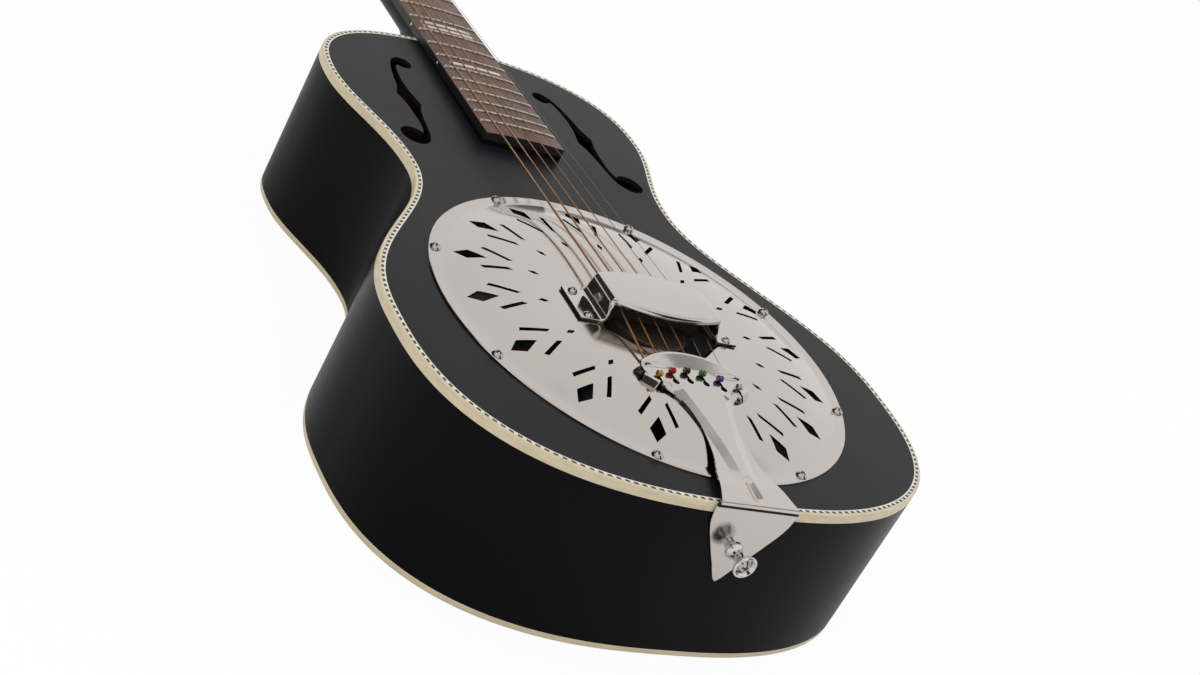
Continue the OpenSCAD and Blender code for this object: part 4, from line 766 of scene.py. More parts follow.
BLACK = lacquer("black_top_lacquer", (0.0072, 0.0066, 0.0080), 0.34, 0.09)
# A darker, less glossy copy of the top's lacquer for the sides, back, neck and board support:
# painted shade for the faces turned away from the light.
SHADED_BLACK = lacquer("black_lacquer_painted_shade", (0.0034, 0.0033, 0.0042), 0.3, 0.045)
VENEER = lacquer("black_head_veneer", (0.008, 0.008, 0.009), 0.3, 0.3)
IVORY = moulded("ivory_binding", (0.55, 0.465, 0.315), 0.3, (1, 1, 6))
CHECKERED = checkered()
PLATE = plated("coverplate_nickel", (0.54, 0.49, 0.455), 0.07)
REST = plated("handrest_nickel", (0.56, 0.515, 0.48), 0.07)
TAILPLATE = plated("tailpiece_nickel", (0.57, 0.52, 0.485), 0.09)
# Nickel darker than the plate's: painted shade for the dark that the screw heads reflect.
SCREWS = plated("screw_nickel", (0.46, 0.44, 0.41), 0.1)
KNOB = plated("strap_button_chrome", (0.62, 0.61, 0.60), 0.08)
MACHINE = plated("machine_nickel", (0.58, 0.55, 0.50), 0.2)
BRASS = plated("gear_brass", (0.62, 0.43, 0.17), 0.26, brushed=0.1)
WIRE = plated("fret_nickel_silver", (0.46, 0.43, 0.38), 0.2, wave=0.004)
STEEL = plated("plain_steel", (0.42, 0.42, 0.42), 0.34)
# Aluminium darkened to a dark grey: painted shade for the cone deep under the coverplate.
CONE = spun("spun_aluminium", (0.20, 0.205, 0.22), 0.36, 0.9)
ROSEWOOD = board_wood()
PEARL = moulded("pearl_inlay", (0.52, 0.49, 0.43), 0.25, (1, 0.4, 1), veins=0.25)
BONE = moulded("nut_bone", (0.78, 0.72, 0.56), 0.33, (0.1, 1, 1))
# Matt black for the strip under the tailpiece's fold: painted shadow of the gap there.
GAP_SHADE = moulded("black_gap_shade", (0.006, 0.006, 0.007), 0.95, depth=0.05, veins=0.4)
GLOSS = moulded("gloss_black_plastic", (0.01, 0.01, 0.01), 0.14)
CREAM = moulded("cream_button_plastic", (0.74, 0.65, 0.45), 0.27)
# The inner woods are about half as light as bare wood: painted shade for the dim inside of the
# body.
LININGS = timber("basswood_linings", (0.30, 0.21, 0.12), (0.22, 0.15, 0.08), 0.7)
BLOCKS = timber("mahogany_blocks", (0.20, 0.10, 0.055), (0.13, 0.06, 0.03), 0.65, (1, 1, 0.06))
BRACES = timber("spruce_braces", (0.34, 0.24, 0.13), (0.25, 0.16, 0.08), 0.62, (0.06, 1, 1))
WELL = timber("plywood_well", (0.24, 0.16, 0.09), (0.16, 0.10, 0.06), 0.7, (1, 1, 9), 60)
# The biscuit and saddle maple is darkened almost to black: painted shade under the handrest.
MAPLE = timber("maple_bridge_painted_shade", (0.032, 0.023, 0.018), (0.018, 0.013, 0.011), 0.5,
               (0.08, 1, 1), 160, 0.008)
# The winding's second colour is the painted shade in the grooves between its turns.
BRONZE = winding("bronze_winding", (0.80, 0.44, 0.21), (0.26, 0.115, 0.05))
PLAIN = plated("plain_string_steel", (0.36, 0.35, 0.33), 0.2, wave=0.001)
BALLS = ball_colours()

# ---- Body ----

LOWER_Y, WAIST_Y, UPPER_Y = -23, 144, 240
LOWER_POWER, UPPER_POWER = 2.6, 2.45
UPPER_X = 117
WAIST_IN, WAIST_OUT = 72, 20.5
BINDING_H, BACK_BINDING_H = 5.5, 4.0
BINDING_ROUND = 1.3
SIDE_T = 2.8
PURFLING_W, PURFLING_H = 2.8, 1.4
TILE = 2.5
WELL_R = 121.45
BOARD_STEP = 16


def ease(t):
    """Half a cosine wave from nought to one."""
    return (1 - np.cos(np.pi * t)) / 2


def body_half():
    """Half of the outline from tail to neck: a superellipse, two waist curves, a superellipse."""
    def bout(t, half, y, reach, power):
        """A quarter: x is half sin^(2/power), and y is reach cos^(2/power) from its centre."""
        return half * np.sin(t) ** (2 / power), y + reach * np.abs(np.cos(t)) ** (2 / power)

    t, s = quarter_turn(181), np.linspace(0, 1, 91)
    parts = (bout(t, BOUT, LOWER_Y, -(TAIL + LOWER_Y), LOWER_POWER),
             (BOUT - WAIST_IN * ease(s ** 1.2), LOWER_Y + (WAIST_Y - LOWER_Y) * s),
             (UPPER_X - WAIST_OUT + WAIST_OUT * ease(s ** 1.1), WAIST_Y + (UPPER_Y - WAIST_Y) * s),
             bout(t[::-1], UPPER_X, UPPER_Y, BODY_END - UPPER_Y, UPPER_POWER))
    return chain(*(abreast(*part) for part in parts))


OUTLINE = resample(mirrored(body_half()), 2.4, closed=True)


def sides():
    """The bent sides, stepped in at both edges to seat the bindings."""
    low, high = BACK_BINDING_H, TOP - BINDING_H
    profile = [(0, low), (0, high), (BINDING, high), (BINDING, TOP_UNDER), (SIDE_T, TOP_UNDER),
               (SIDE_T, BACK_T), (BINDING, BACK_T), (BINDING, low)]
    sheet = Sheet().grid(stacked(OUTLINE, profile), True)
    make("bent_sides", sheet, "body_lacquer", SHADED_BLACK, "rim")


def bindings():
    """Ivory strips round both edges of the sides, each with a scraped, rounded corner."""
    a = quarter_turn(7)
    corner = BINDING_ROUND * abreast(1 - np.cos(a), np.sin(a))
    sheet = Sheet()
    for foot, face, way in ((TOP - BINDING_H, TOP, 1), (BACK_BINDING_H, 0, -1)):
        profile = chain([(0, foot)], corner * (1, way) + (0, face - way * BINDING_ROUND),
                        [(BINDING, face), (BINDING, foot)])
        sheet.grid(stacked(OUTLINE, profile), True)
    make("edge_bindings", sheet, "binding", IVORY, "bindings")


def purfling():
    """The checkered strip: u counts its tiles round the body and v crosses its face."""
    low, inner = TOP - PURFLING_H, BINDING + PURFLING_W
    profile = [(BINDING, low), (BINDING, TOP), (inner, TOP), (inner, low)]
    length = np.linalg.norm(OUTLINE - np.roll(OUTLINE, 1, 0), axis=1).sum()
    tiles = 2 * round(length / TILE / 2)
    u, v = np.linspace(0, tiles, len(OUTLINE) + 1)[None], np.array([0, 0, 1, 1, 0])[:, None]
    sheet = Sheet().grid(stacked(OUTLINE, profile), True, uv=grid_of(u, v))
    make("checker_purfling", sheet, "purfling", CHECKERED, "purfling")


def sound_hole():
    """The treble opening: two eyes joined by a curved stem with a nick on either side."""
    stem = chain(
        smooth_line([(56, 281), (61, 276.5), (65, 267), (68, 253), (70, 240)], 6), [(74, 230)],
        smooth_line([(71, 219), (70, 205), (69.8, 193), (72, 184)], 6),
        smooth_line([(74, 171.5), (70, 175.5), (67, 185), (65.3, 198), (63, 212)], 6),
        [(59.5, 221.5)],
        smooth_line([(62.5, 236), (63.2, 248), (62.5, 258), (60.5, 268), (57, 272)], 6))
    lower_eye, upper_eye = ((80, 178.5), 9.5), ((53.5, 275), 6.5)
    return joined(joined(anticlockwise(edged(stem, 0.6)), *lower_eye), *upper_eye)


def boards():
    """The top with its well and sound holes, and the plain back."""
    hole = sound_hole()
    holes = [polar(WELL_R, full_turn(180)), hole, (hole * (-1, 1))[::-1]]
    filling = square_filling((-BOUT, -TAIL), (BOUT, BODY_END), BOARD_STEP)
    top = plate(moved_in(OUTLINE, BINDING + PURFLING_W), holes, filling, level(TOP),
                level(TOP - TOP_UNDER), BOARD_STEP)
    bevel(make("sound_board", top, "body_lacquer", BLACK, "top_board"), 0.25)
    back = plate(moved_in(OUTLINE, BINDING), [], filling, level(BACK_T), level(BACK_T), BOARD_STEP)
    make("back_plate", back, "body_lacquer", SHADED_BLACK, "back_board")


# ---- Screws ----

SCREW_CROWN, SCREW_EDGE, SCREW_CUT = 0.6, 0.16, 0.5
SCREW_SINK = 0.35
# The recess's arms, as shares of the radius: half width and reach, each with its taper
ARM_W, ARM_W_TAPER, ARM_L, ARM_L_TAPER = 0.17, 0.07, 0.62, 0.16
RIM_SCREW_R, FOOT_SCREW_R, STRAP_SCREW_R = 3.3, 2.9, 3.8


def screw_head(sheet, centre, normal, radius, turn):
    """An oval head over a polar grid: a dome of the 2.2th power, less a tapering cross recess."""
    normal = np.asarray(normal, float)
    side = unit(np.cross(normal, (0.3, 0.9, 0.2)))
    share, angle = np.meshgrid(chain(np.linspace(0, 0.94, 26), [0.98, 1.0]),
                               full_turn(72), indexing="ij")
    u, v = share * np.cos(angle + turn), share * np.sin(angle + turn)
    arm = lambda a, b: (soft((ARM_W - np.abs(a)) / ARM_W_TAPER)
                        * soft((ARM_L - np.abs(b)) / ARM_L_TAPER))
    dome = SCREW_CROWN * (1 - share ** 2.2) + SCREW_EDGE
    height = radius * (dome - SCREW_CUT * np.maximum(arm(u, v), arm(v, u)))
    share, angle, height = share[..., None], angle[..., None], height[..., None]
    around = np.cos(angle) * side + np.sin(angle) * np.cross(normal, side)
    face = np.asarray(centre) + radius * share * around + height * normal
    skirt = face[-1] - (SCREW_SINK + 0.1 * radius) * normal
    sheet.grid(chain(face, skirt[None])).cap(skirt)


def screws_at(name, places, normal, radius, node):
    """Screw heads at the places, each turned by its own amount."""
    sheet = Sheet()
    for k, centre in enumerate(places):
        screw_head(sheet, centre, normal, radius, 0.7 + 2.4 * k)
    make(name, sheet, "screw_chrome", SCREWS, node, crease=50)


# ---- Coverplate and handrest ----

DOME_R = 121.0
DOME_RISE, DOME_FOOT = 8.15, 2.45
CONE_SLOPE, CONE_FOOT_R = 0.275, DOME_R + 1.2
DOME_BLUR, RIM_BLUR = 0.16, 0.05
COVER_T = 1.2
COVER_SCREWS, CUT_GROUPS = 8, 16
COVER_SCREWS_R = 126.3
COVER_STEPS = 360
LIP_REACH, LIP_DROP, EDGE_DROP = 2.2, 2.4, 0.45
OPENING = edged(mirrored([(0, -29), (23, -29), (42, -13), (42, 13), (23, 29), (0, 29)]), 1.5)
# Radii where the filling is dense, because the dome meets the flat rim and the rim its edge
RIM_RADII = (118.4, 119.4, 120, 120.6, 121.2, 121.8, 122.4, 123.1, 124.2, 126.5, 128.4, 129, 129.3,
             129.6, 129.8)


def cover_height(x, y):
    """A dome of the fourth power that ends in a cone, a flat rim and a turned-down opening."""
    r, spots, flat = np.hypot(x, y), abreast(x, y), TOP + COVER_T
    dome = TOP + DOME_FOOT + DOME_RISE * (1 - (np.minimum(r, DOME_R) / DOME_R) ** 4)
    skin = lesser(dome, flat + CONE_SLOPE * (CONE_FOOT_R - r), DOME_BLUR)
    skin = -lesser(-skin, -flat, RIM_BLUR)
    edge = EDGE_DROP * soft(r - COVER_R + 1.0) ** 2
    lip = np.clip(1 - nearest(spots, [resample(OPENING, 0.3, True)]) / LIP_REACH, 0, 1)
    lip = np.where(inside(spots, OPENING * 1.3), lip, 0)
    return skin - edge - LIP_DROP * (1 - np.sqrt(1 - lip ** 2))


def coverplate():
    """The domed plate with sixteen groups of cut-outs round an eight-sided opening."""
    kite = [(116.5, 0), (108.8, 4.8), (97.8, 0), (108.8, -4.8)]
    diamond = [(74.8, 0), (71, 1.6), (67.2, 0), (71, -1.6)]
    slot = [(99.7, 12), (101.9, 9.975), (86, 3.825), (82.8, 5.175)]
    twin = [(x, -y) for x, y in slot]
    holes = [anticlockwise(edged(turned(shape, 360 / CUT_GROUPS * i), 1.4))
             for i in range(CUT_GROUPS) for shape in (kite, diamond, slot, twin)]
    dome = [polar(r, np.arange(0, 2 * np.pi, 3.4 / r) + 0.37 * r) for r in np.arange(30, 117, 3.2)]
    lips = [moved_in(OPENING, -g) for g in (0.25, 0.6, 1.1, 1.7, 2.3)]
    filling = chain(*dome, rings_about(0, RIM_RADII, COVER_STEPS), *lips)
    sheet = plate(rings_about(0, [COVER_R - 0.01], COVER_STEPS), [OPENING] + holes, filling,
                  cover_height, level(COVER_T), 0.5)
    make("domed_coverplate", sheet, "plate_chrome", PLATE, "coverplate", crease=40)
    spots = [turned([(COVER_SCREWS_R, 0)], 360 / COVER_SCREWS * (i + 0.5))[0]
             for i in range(COVER_SCREWS)]
    screws_at("rim_screws", [(x, y, TOP + COVER_T) for x, y in spots], (0, 0, 1), RIM_SCREW_R,
              "coverplate_screws")


REST_X = 38.5
REST_T = 1.5
REST_LIP, REST_ROUND, REST_BEND = 3.2, 2.4, 4.4
LEG_ROUND, LIP_END, LIP_FADE = 0.7, 3, 6
REST_FRONT, REST_BACK, REST_BOW, FOOT_GROWTH = 11.5, 14.5, 7.5, 3
RIVET_Y, RIVET_Z = 1.5, 122.2
FOOT_TOP = box("handrest")[0][2] + REST_T
FOOT_SCREW = (48, 11.3)


def handrest():
    """A bent strip with turned-down long edges.

    Its middle line runs over one foot, up the end wall, across and down again. At each station the
    section is a sheet between the front and back edges, turned down to the inside of the bend.
    """
    corners = [(-REST_FOOT, FOOT_TOP), (-REST_X, FOOT_TOP), (-REST_X, REST_TOP),
               (REST_X, REST_TOP), (REST_X, FOOT_TOP), (REST_FOOT, FOOT_TOP)]
    path = resample(rounded(corners, REST_BEND, 10), 0.7)
    out = beside(path)
    fall = soft((REST_TOP - path[:, 1]) / (REST_TOP - FOOT_TOP))
    bow = REST_BOW * (1 - np.minimum(np.abs(path[:, 0]) / REST_X, 1) ** 2)
    thin = soft((REST_TOP - LIP_END - path[:, 1]) / LIP_FADE)
    lip = REST_LIP + (REST_T - REST_LIP) * thin
    radius = REST_ROUND + (LEG_ROUND - REST_ROUND) * thin
    inner = np.maximum(radius - REST_T, 0.15)
    arc = quarter_turn(7)

    def edge(at, way):
        """The outer and the inner points of one long edge, each from its foot up to the flat."""
        outer = [(at + way * radius * (1 - np.cos(k)), -radius * (1 - np.sin(k))) for k in arc]
        hollow = [(at + way * (REST_T + inner * (1 - np.cos(k))),
                   np.maximum(-REST_T - inner * (1 - np.sin(k)), -lip)) for k in arc[:-1]]
        return [(at, -lip)] + outer, [(at + way * REST_T, -lip)] + hollow

    left, other = edge(-(REST_FRONT + bow + FOOT_GROWTH * fall), 1)
    right, under = edge(REST_BACK + bow, -1)
    y, depth = (np.stack(part, 1) for part in zip(*left, *right[::-1], *under, *other[::-1]))
    sheet = Sheet().loft(grid_of(path[:, :1] + out[:, :1] * depth, y,
                                 path[:, 1:] + out[:, 1:] * depth))
    rivet = [(1.4, -0.3), (1.4, 0.15), (1.2, 0.4), (0.7, 0.56), (0, 0.6)]
    for side in (-1, 1):
        sheet.grid(revolve(rivet, (side * REST_X, RIVET_Y, RIVET_Z), (side, 0, 0), 32))
    make("bent_handrest", sheet, "rest_chrome", REST, "handrest", crease=50)
    x, y = FOOT_SCREW
    screws_at("foot_screws", [(a * x, b * y, FOOT_TOP) for a in (-1, 1) for b in (-1, 1)],
              (0, 0, 1), FOOT_SCREW_R, "handrest_screws")


# ---- Tailpiece ----

HEAD_Y = -94.0
HEAD_R = 54.0
HEAD_X = 34.5
HEAD_TOP = 117.8
TAIL_T = 1.5
CORNER_Y = HEAD_Y + math.sqrt(HEAD_R ** 2 - HEAD_X ** 2)
FOLD_X = 26.8
STEM_Y, STEM_SLOPE = -66, 0.1247
LIP_R = HEAD_R + 1.2
# The rolled front lip's height against the distance behind the front edge
ROLL = np.array([(0, 0.3), (0.15, 1.3), (0.4, 2.1), (0.8, 2.8), (1.3, 3.25), (1.9, 3.5),
                 (2.6, 3.6), (3.4, 3.5), (4.2, 3.2), (12.8, 0)])
ROLL_STEPS = (5.2, 4.7, 4.2, 3.8, 3.4, 3.0, 2.6, 2.25, 1.9, 1.6, 1.3, 1.05, 0.8, 0.6, 0.4, 0.25,
              0.15, 0.07)
RIB = resample(smooth_line([(17.6, -69.5), (14.2, -81), (10.6, -94), (7.6, -107), (5.8, -120),
                            (4.6, -132)], 12), 0.9)
RIB_Y, RIB_L, RIB_HALF, RIB_TAPER, RIB_SLOPE = -69.5, 62, 3.7, 1.2, 0.6
RIB_FROM, RIB_FROM_FADE, RIB_TO, RIB_TO_FADE = -66.5, 3.5, -141, 16
GROOVE_FROM, GROOVE_TO, GROOVE_HALF, GROOVE_DEPTH = 134.5, 145, 3.7, 1.45
GROOVE_GROWTH, GROOVE_STEEP = 0.06, 1.1
FOLD_DROP, FOLD_THINNING = 0.5, 1.15
ROLL_HALF, ROLL_END, ROLL_FADE = 38, 2, 1.6
TAB_L, TAB_W, TAB_T = 5.4, 4.6, 0.9
TAB_LEAN, TAB_CURL, TAB_TURN = 6, 54, -50
TAB_AT = (HEAD_X - 3, CORNER_Y - 11.5)
BALL_ROW = 54.5
BALL_BACK = 15
BUTTON_Z = TOP - 27
# The flange's half width, and half the length of the strip of painted shadow under the fold.
FLANGE_X, GAP_SHADE_X = 17.5, 26.4
SCREW_SEAT = 11.6


def spread(i, width):
    """Place across the strings of string i, counted from the sixth, in a row of a given width."""
    return width * (i / 5 - 0.5)


def ball_y(i):
    return HEAD_Y + math.sqrt(HEAD_R ** 2 - spread(i, BALL_ROW) ** 2) - BALL_BACK


def rib_half(y):
    """Half the width of a rib, which narrows towards the fold."""
    return RIB_HALF - RIB_TAPER * np.clip((RIB_Y - y) / RIB_L, 0, 1)


def rib_fall(x, y):
    """How far the sheet lies under its middle: each rib is a slope down to the sheet's flank."""
    half = rib_half(y)
    out = (np.abs(x) - np.interp(-y, -RIB[:, 1], RIB[:, 0])) * 0.96
    fall = RIB_SLOPE * half * np.clip((out + half) / (2 * half), 0, 1)
    return fall * soft((RIB_FROM - y) / RIB_FROM_FADE) * soft((y - RIB_TO) / RIB_TO_FADE)


def tail_height(x, y):
    """Flat head that rises to a rolled front lip, and a falling stem with two ribs and a groove."""
    z = HEAD_TOP + STEM_SLOPE * lesser(y - STEM_Y, 0, 20)
    lip = np.interp(LIP_R - np.hypot(x, y - HEAD_Y), *ROLL.T)
    lip = lip * np.clip(1 - (x / ROLL_HALF) ** 4, 0, 1)
    z = z + lip * soft((y - CORNER_Y + ROLL_END) / ROLL_FADE) - rib_fall(x, y)
    groove = np.clip(-y, GROOVE_FROM, GROOVE_TO)
    share = np.hypot(x, y + groove) / (GROOVE_HALF + GROOVE_GROWTH * (groove - GROOVE_FROM))
    z = z - GROOVE_DEPTH * np.clip(GROOVE_STEEP * (1 - share), 0, 1)
    return z - FOLD_DROP * soft((FOLD_Y + 2.5 - y) / 2.6) ** 2


def tail_thickness(x, y):
    """An even sheet, drawn thinner beyond the ribs and thinned to an edge at the fold."""
    return TAIL_T - 0.36 * rib_fall(x, y) - FOLD_THINNING * soft((FOLD_Y + 2.2 - y) / 2.2)


def keyhole(i):
    """A round hole behind a ball with a narrow slot running forward to the ball."""
    big, small, reach = 2.15, 1.0, 8.5
    meet = math.asin(small / big)
    return chain(
        polar(big, np.linspace(np.pi / 2 + meet, 2.5 * np.pi - meet, 22)),
        polar(small, np.linspace(0, np.pi, 9)) + (0, reach)) + (spread(i, BALL_ROW), ball_y(i) - 7)


def curled_tab(side):
    """A small tab on a back corner of the head, turned down steeply over a short bend."""
    s = np.linspace(-0.8, TAB_L, 20)
    lean = np.radians(TAB_LEAN + TAB_CURL * soft((s + 0.4) / 1.9))
    run, drop = (chain([0], np.cumsum(np.diff(s) * part[1:]))
                 for part in (np.cos(lean), np.sin(lean)))
    across = np.linspace(-1, 1, 15)
    wide = (TAB_W * (1 - 0.12 * (s / TAB_L) ** 2))[:, None]
    top = grid_of(s[0] + run[:, None], across * wide, -drop[:, None] - 0.25 * across ** 6)
    under = top[:, ::-1] - TAB_T * abreast(np.sin(lean), 0 * s, np.cos(lean))[:, None]
    rings = np.concatenate([top, under], 1)
    plan = turned(rings[..., :2], TAB_TURN, TAB_AT)
    return np.concatenate([plan * (side, 1), rings[..., 2:] + HEAD_TOP - 0.05], 2)


def tailpiece():
    """The pressed tailpiece: keyholes for the balls, a rolled lip and two curled tabs."""
    a = np.radians(np.linspace(0, math.degrees(math.asin(HEAD_X / LIP_R)), 40))
    front = abreast(LIP_R * np.sin(a), HEAD_Y + LIP_R * np.cos(a))
    flank = smooth_line([(34.5, -58.5), (30.5, -64.5), (23.5, -69.5), (17, -77.5), (13, -92),
                         (12.5, -104), (14.5, -118), (18.8, -131), (22.6, -143), (26, -152)], 6)
    fold = [(FOLD_X - 0.2, FOLD_Y + 0.5), (FOLD_X - 0.5, FOLD_Y), (0, FOLD_Y)]
    outline = anticlockwise(edged(mirrored(chain(front, flank, fold)), 1.2))
    lattice = square_filling((-36, FOLD_Y), (36, -40), 1.0)
    r = np.hypot(lattice[:, 0], lattice[:, 1] - HEAD_Y)
    near_rib = nearest(np.abs(lattice) * (1, -1), [RIB]) < 1.2 * rib_half(lattice[:, 1])
    grooved = nearest(lattice, [np.array([(0, -y) for y in range(134, 146)])]) < 5
    lattice = lattice[((r > LIP_R) | (r < LIP_R - 5.7)) & ~near_rib & ~grooved]
    roll = rings_about(HEAD_Y, [LIP_R - g for g in ROLL_STEPS], 280)
    groove = square_filling((-5, -150.5), (5, -129.5), 0.45)
    across = beside(RIB) * rib_half(RIB[:, 1])[:, None]
    shares = np.unique([way * share for share in (0, 0.4, 0.8, 0.93, 1.0, 1.07, 1.18)
                        for way in (-1, 1)])
    ribs = chain(*(RIB + share * across for share in shares))
    sheet = plate(outline, [keyhole(i) for i in range(6)],
                  chain(lattice, roll, groove, ribs, ribs * (-1, 1)),
                  tail_height, tail_thickness, 0.3)
    for side in (-1, 1):
        sheet.loft(curled_tab(side))
    make("pressed_tailpiece", sheet, "tail_chrome", TAILPLATE, "tailpiece", crease=42)


def tail_bracket():
    """The flange under the tailpiece, the face down the tail, and a black strip of painted shadow.
    """
    half = chain([(0, -0.3), (FOLD_X, -0.3)], smooth_line(
        [(FOLD_X, -1.5), (25.8, -8), (23.2, -14.4), (19.2, -21), (15.4, -27), (11.8, -32.5),
         (8, -38), (3, -46), (0, BRACKET_LOW - TOP)], 7))
    ring = mirrored(half)
    face = np.column_stack([ring[:, 0], np.full(len(ring), BRACKET_FACE), ring[:, 1] + TOP])
    sheet = prism(face, (0, TAIL_T, 0))
    x, z, low, high = FLANGE_X, TOP + 0.02, BRACKET_FACE + 0.6, box("tail_bracket")[1][1]
    flange = np.array([(-x, low, z), (x, low, z), (x, high, z), (-x, high, z)])
    sheet.loft(np.stack([flange, flange + (0, 0, TAIL_T - 0.04)]))
    bevel(make("hanging_bracket", sheet, "tail_chrome", TAILPLATE, "tail_bracket"), 0.3, 3)
    # A black strip just proud of the hanging face under the fold: painted shadow of the gap.
    x, low, high = GAP_SHADE_X, (BRACKET_FACE - 0.4, TOP - 0.5), (BRACKET_FACE + 1.3, TOP + 1.5)
    ring = np.array([(-x, *low), (x, *low), (x, low[0], high[1]), (-x, low[0], high[1])])
    make("gap_shade_strip", prism(ring, (0, high[0] - low[0], 0)), "body_lacquer", GAP_SHADE)


def strap_button():
    """A turned button: collar, waist, flared end with a dish, and its cross-headed screw."""
    waist = smooth_line([(3.6, 3.2), (3.0, 5.5), (3.3, 8), (5.8, 11), (6.75, 12.2), (7, 13),
                         (6.7, 13.7)], 5)
    profile = chain(
        [(0, 0), (4.8, 0), (5, 0.2), (5, 1.0), (4.8, 1.25), (4.4, 2)], waist,
        [(6.2, 14), (5.7, 13.9), (5.3, 13.4), (4.2, SCREW_SEAT), (0, SCREW_SEAT)])
    sheet = Sheet().grid(revolve(profile, (0, BRACKET_FACE, BUTTON_Z), (0, -1, 0), 96))
    make("turned_strap_button", sheet, "button_chrome", KNOB, "strap_button", crease=40)
    screws_at("strap_screw", [(0, BRACKET_FACE - SCREW_SEAT, BUTTON_Z)], (0, -1, 0), STRAP_SCREW_R,
              "strap_button_screw")


# ---- Neck ----

LEAN = math.radians(1.28)
HEAD_LEAN = math.radians(14)
JOINT_Z = 104.3
SCALE_MM = 645.0
NUT_LY = (SCALE_MM - BODY_END) / math.cos(LEAN)
HEAD_LY = NUT_LY + 5
NUT_W, BOARD_GROWTH = 44.5, 13
BOARD_T = 6.0
BOARD_ROWS, BOARD_COLUMNS = 61, 25
BOARD_R = 400.0
BOARD_END_Y = 188.0
HEAD_T = 15.0
FACE_T = 1.5
HEEL_LOW, HEEL_RISE = 5, 93.3
HEEL_HALF = 10
HEEL_REACH, HEEL_FLARE = 13, 49
SHAFT_DEPTH, SHAFT_TAPER, SHAFT_POWER, SHAFT_SQUARING = 18, 3, 2.3, 5
# How far before the nut the shaft begins to grow squarer
SQUARE_L = 42
HEAD_ROUND, VENEER_ROUND = 1.4, 0.45
FRET_HALF_W, FRET_H, FRET_INSET = 1.15, 1.1, 0.4
MARKER_HALF_L, MARKER_PAIR = 19.5, 3.06
MARKED = (5, 7, 9, 15)
OCTAVE = 12


def turn_x(points, angle):
    """Rows of points turned about the X axis."""
    x, y, z = np.moveaxis(np.asarray(points, float), -1, 0)
    c, s = math.cos(angle), math.sin(angle)
    return np.stack([x, y * c - z * s, y * s + z * c], -1)


def on_neck(points):
    """Points on the neck, from the body's end and the board's underside, set in place."""
    return turn_x(points, -LEAN) + (0, BODY_END, JOINT_Z)


def on_head(points):
    """Points on the headstock, from the nut's front and up from its face, set in place."""
    return on_neck(turn_x(points, -HEAD_LEAN) + (0, HEAD_LY, 0))


def fret_ly(n):
    """How far fret n lies along the neck: each is the scale over the nth power of 2^(1/12)."""
    return float((SCALE_MM / 2 ** (n / 12) - BODY_END) / math.cos(LEAN))


FRET_COUNT = 20
LAST_LY = fret_ly(FRET_COUNT)
BOARD_END = LAST_LY - (BODY_END + LAST_LY * math.cos(LEAN) - BOARD_END_Y)


def board_half(ly):
    """Half the fretboard's width, which grows evenly from the nut to the last fret."""
    return (NUT_W + BOARD_GROWTH * (NUT_LY - ly) / (NUT_LY - LAST_LY)) / 2


def board_z(x):
    """The fretboard's face: an arc of its radius across the neck."""
    return BOARD_T - BOARD_R + np.sqrt(BOARD_R ** 2 - x ** 2)


def neck_shell():
    """Shaft and heel.

    The shaft's section is a half superellipse that grows squarer near the nut; the heel's is a
    half round in plan whose reach grows with the 2.2th power of its height.
    """
    ly = chain(np.linspace(-8, NUT_LY - (SQUARE_L + 3), 24),
               np.linspace(NUT_LY - SQUARE_L, HEAD_LY + 1.5, 22))
    late = soft((ly - NUT_LY + SQUARE_L) / (SQUARE_L + 5))
    depth = (SHAFT_DEPTH - SHAFT_TAPER * ly / NUT_LY + 0.7 * late)[:, None]
    bend = 2 / (SHAFT_POWER + SHAFT_SQUARING * late ** 2)[:, None]
    a = np.linspace(0, np.pi, 25)[None, :]
    half = board_half(np.minimum(ly, NUT_LY))[:, None]
    x = np.concatenate([half * np.sign(np.cos(a)) * np.abs(np.cos(a)) ** bend, -half, half], 1)
    z = np.concatenate([-depth * np.sin(a) ** bend, np.full((len(ly), 2), 2.5)], 1)
    shaft = on_neck(grid_of(x, ly[:, None], z))
    t = np.linspace(0, 1, 24)[:, None]
    half = HEEL_HALF + (board_half(0) - 0.4 - HEEL_HALF) * t ** 1.3
    reach = HEEL_REACH + HEEL_FLARE * t ** 2.2
    x, y = half * np.cos(a), BODY_END - 2 + (reach + 2) * np.sin(a) ** 0.9
    z = HEEL_LOW + HEEL_RISE * t
    back = grid_of(np.concatenate([-half, half], 1), BODY_END - 8, z)
    heel = np.concatenate([grid_of(x, y, z), back], 1)
    return Sheet().loft(shaft).loft(heel)


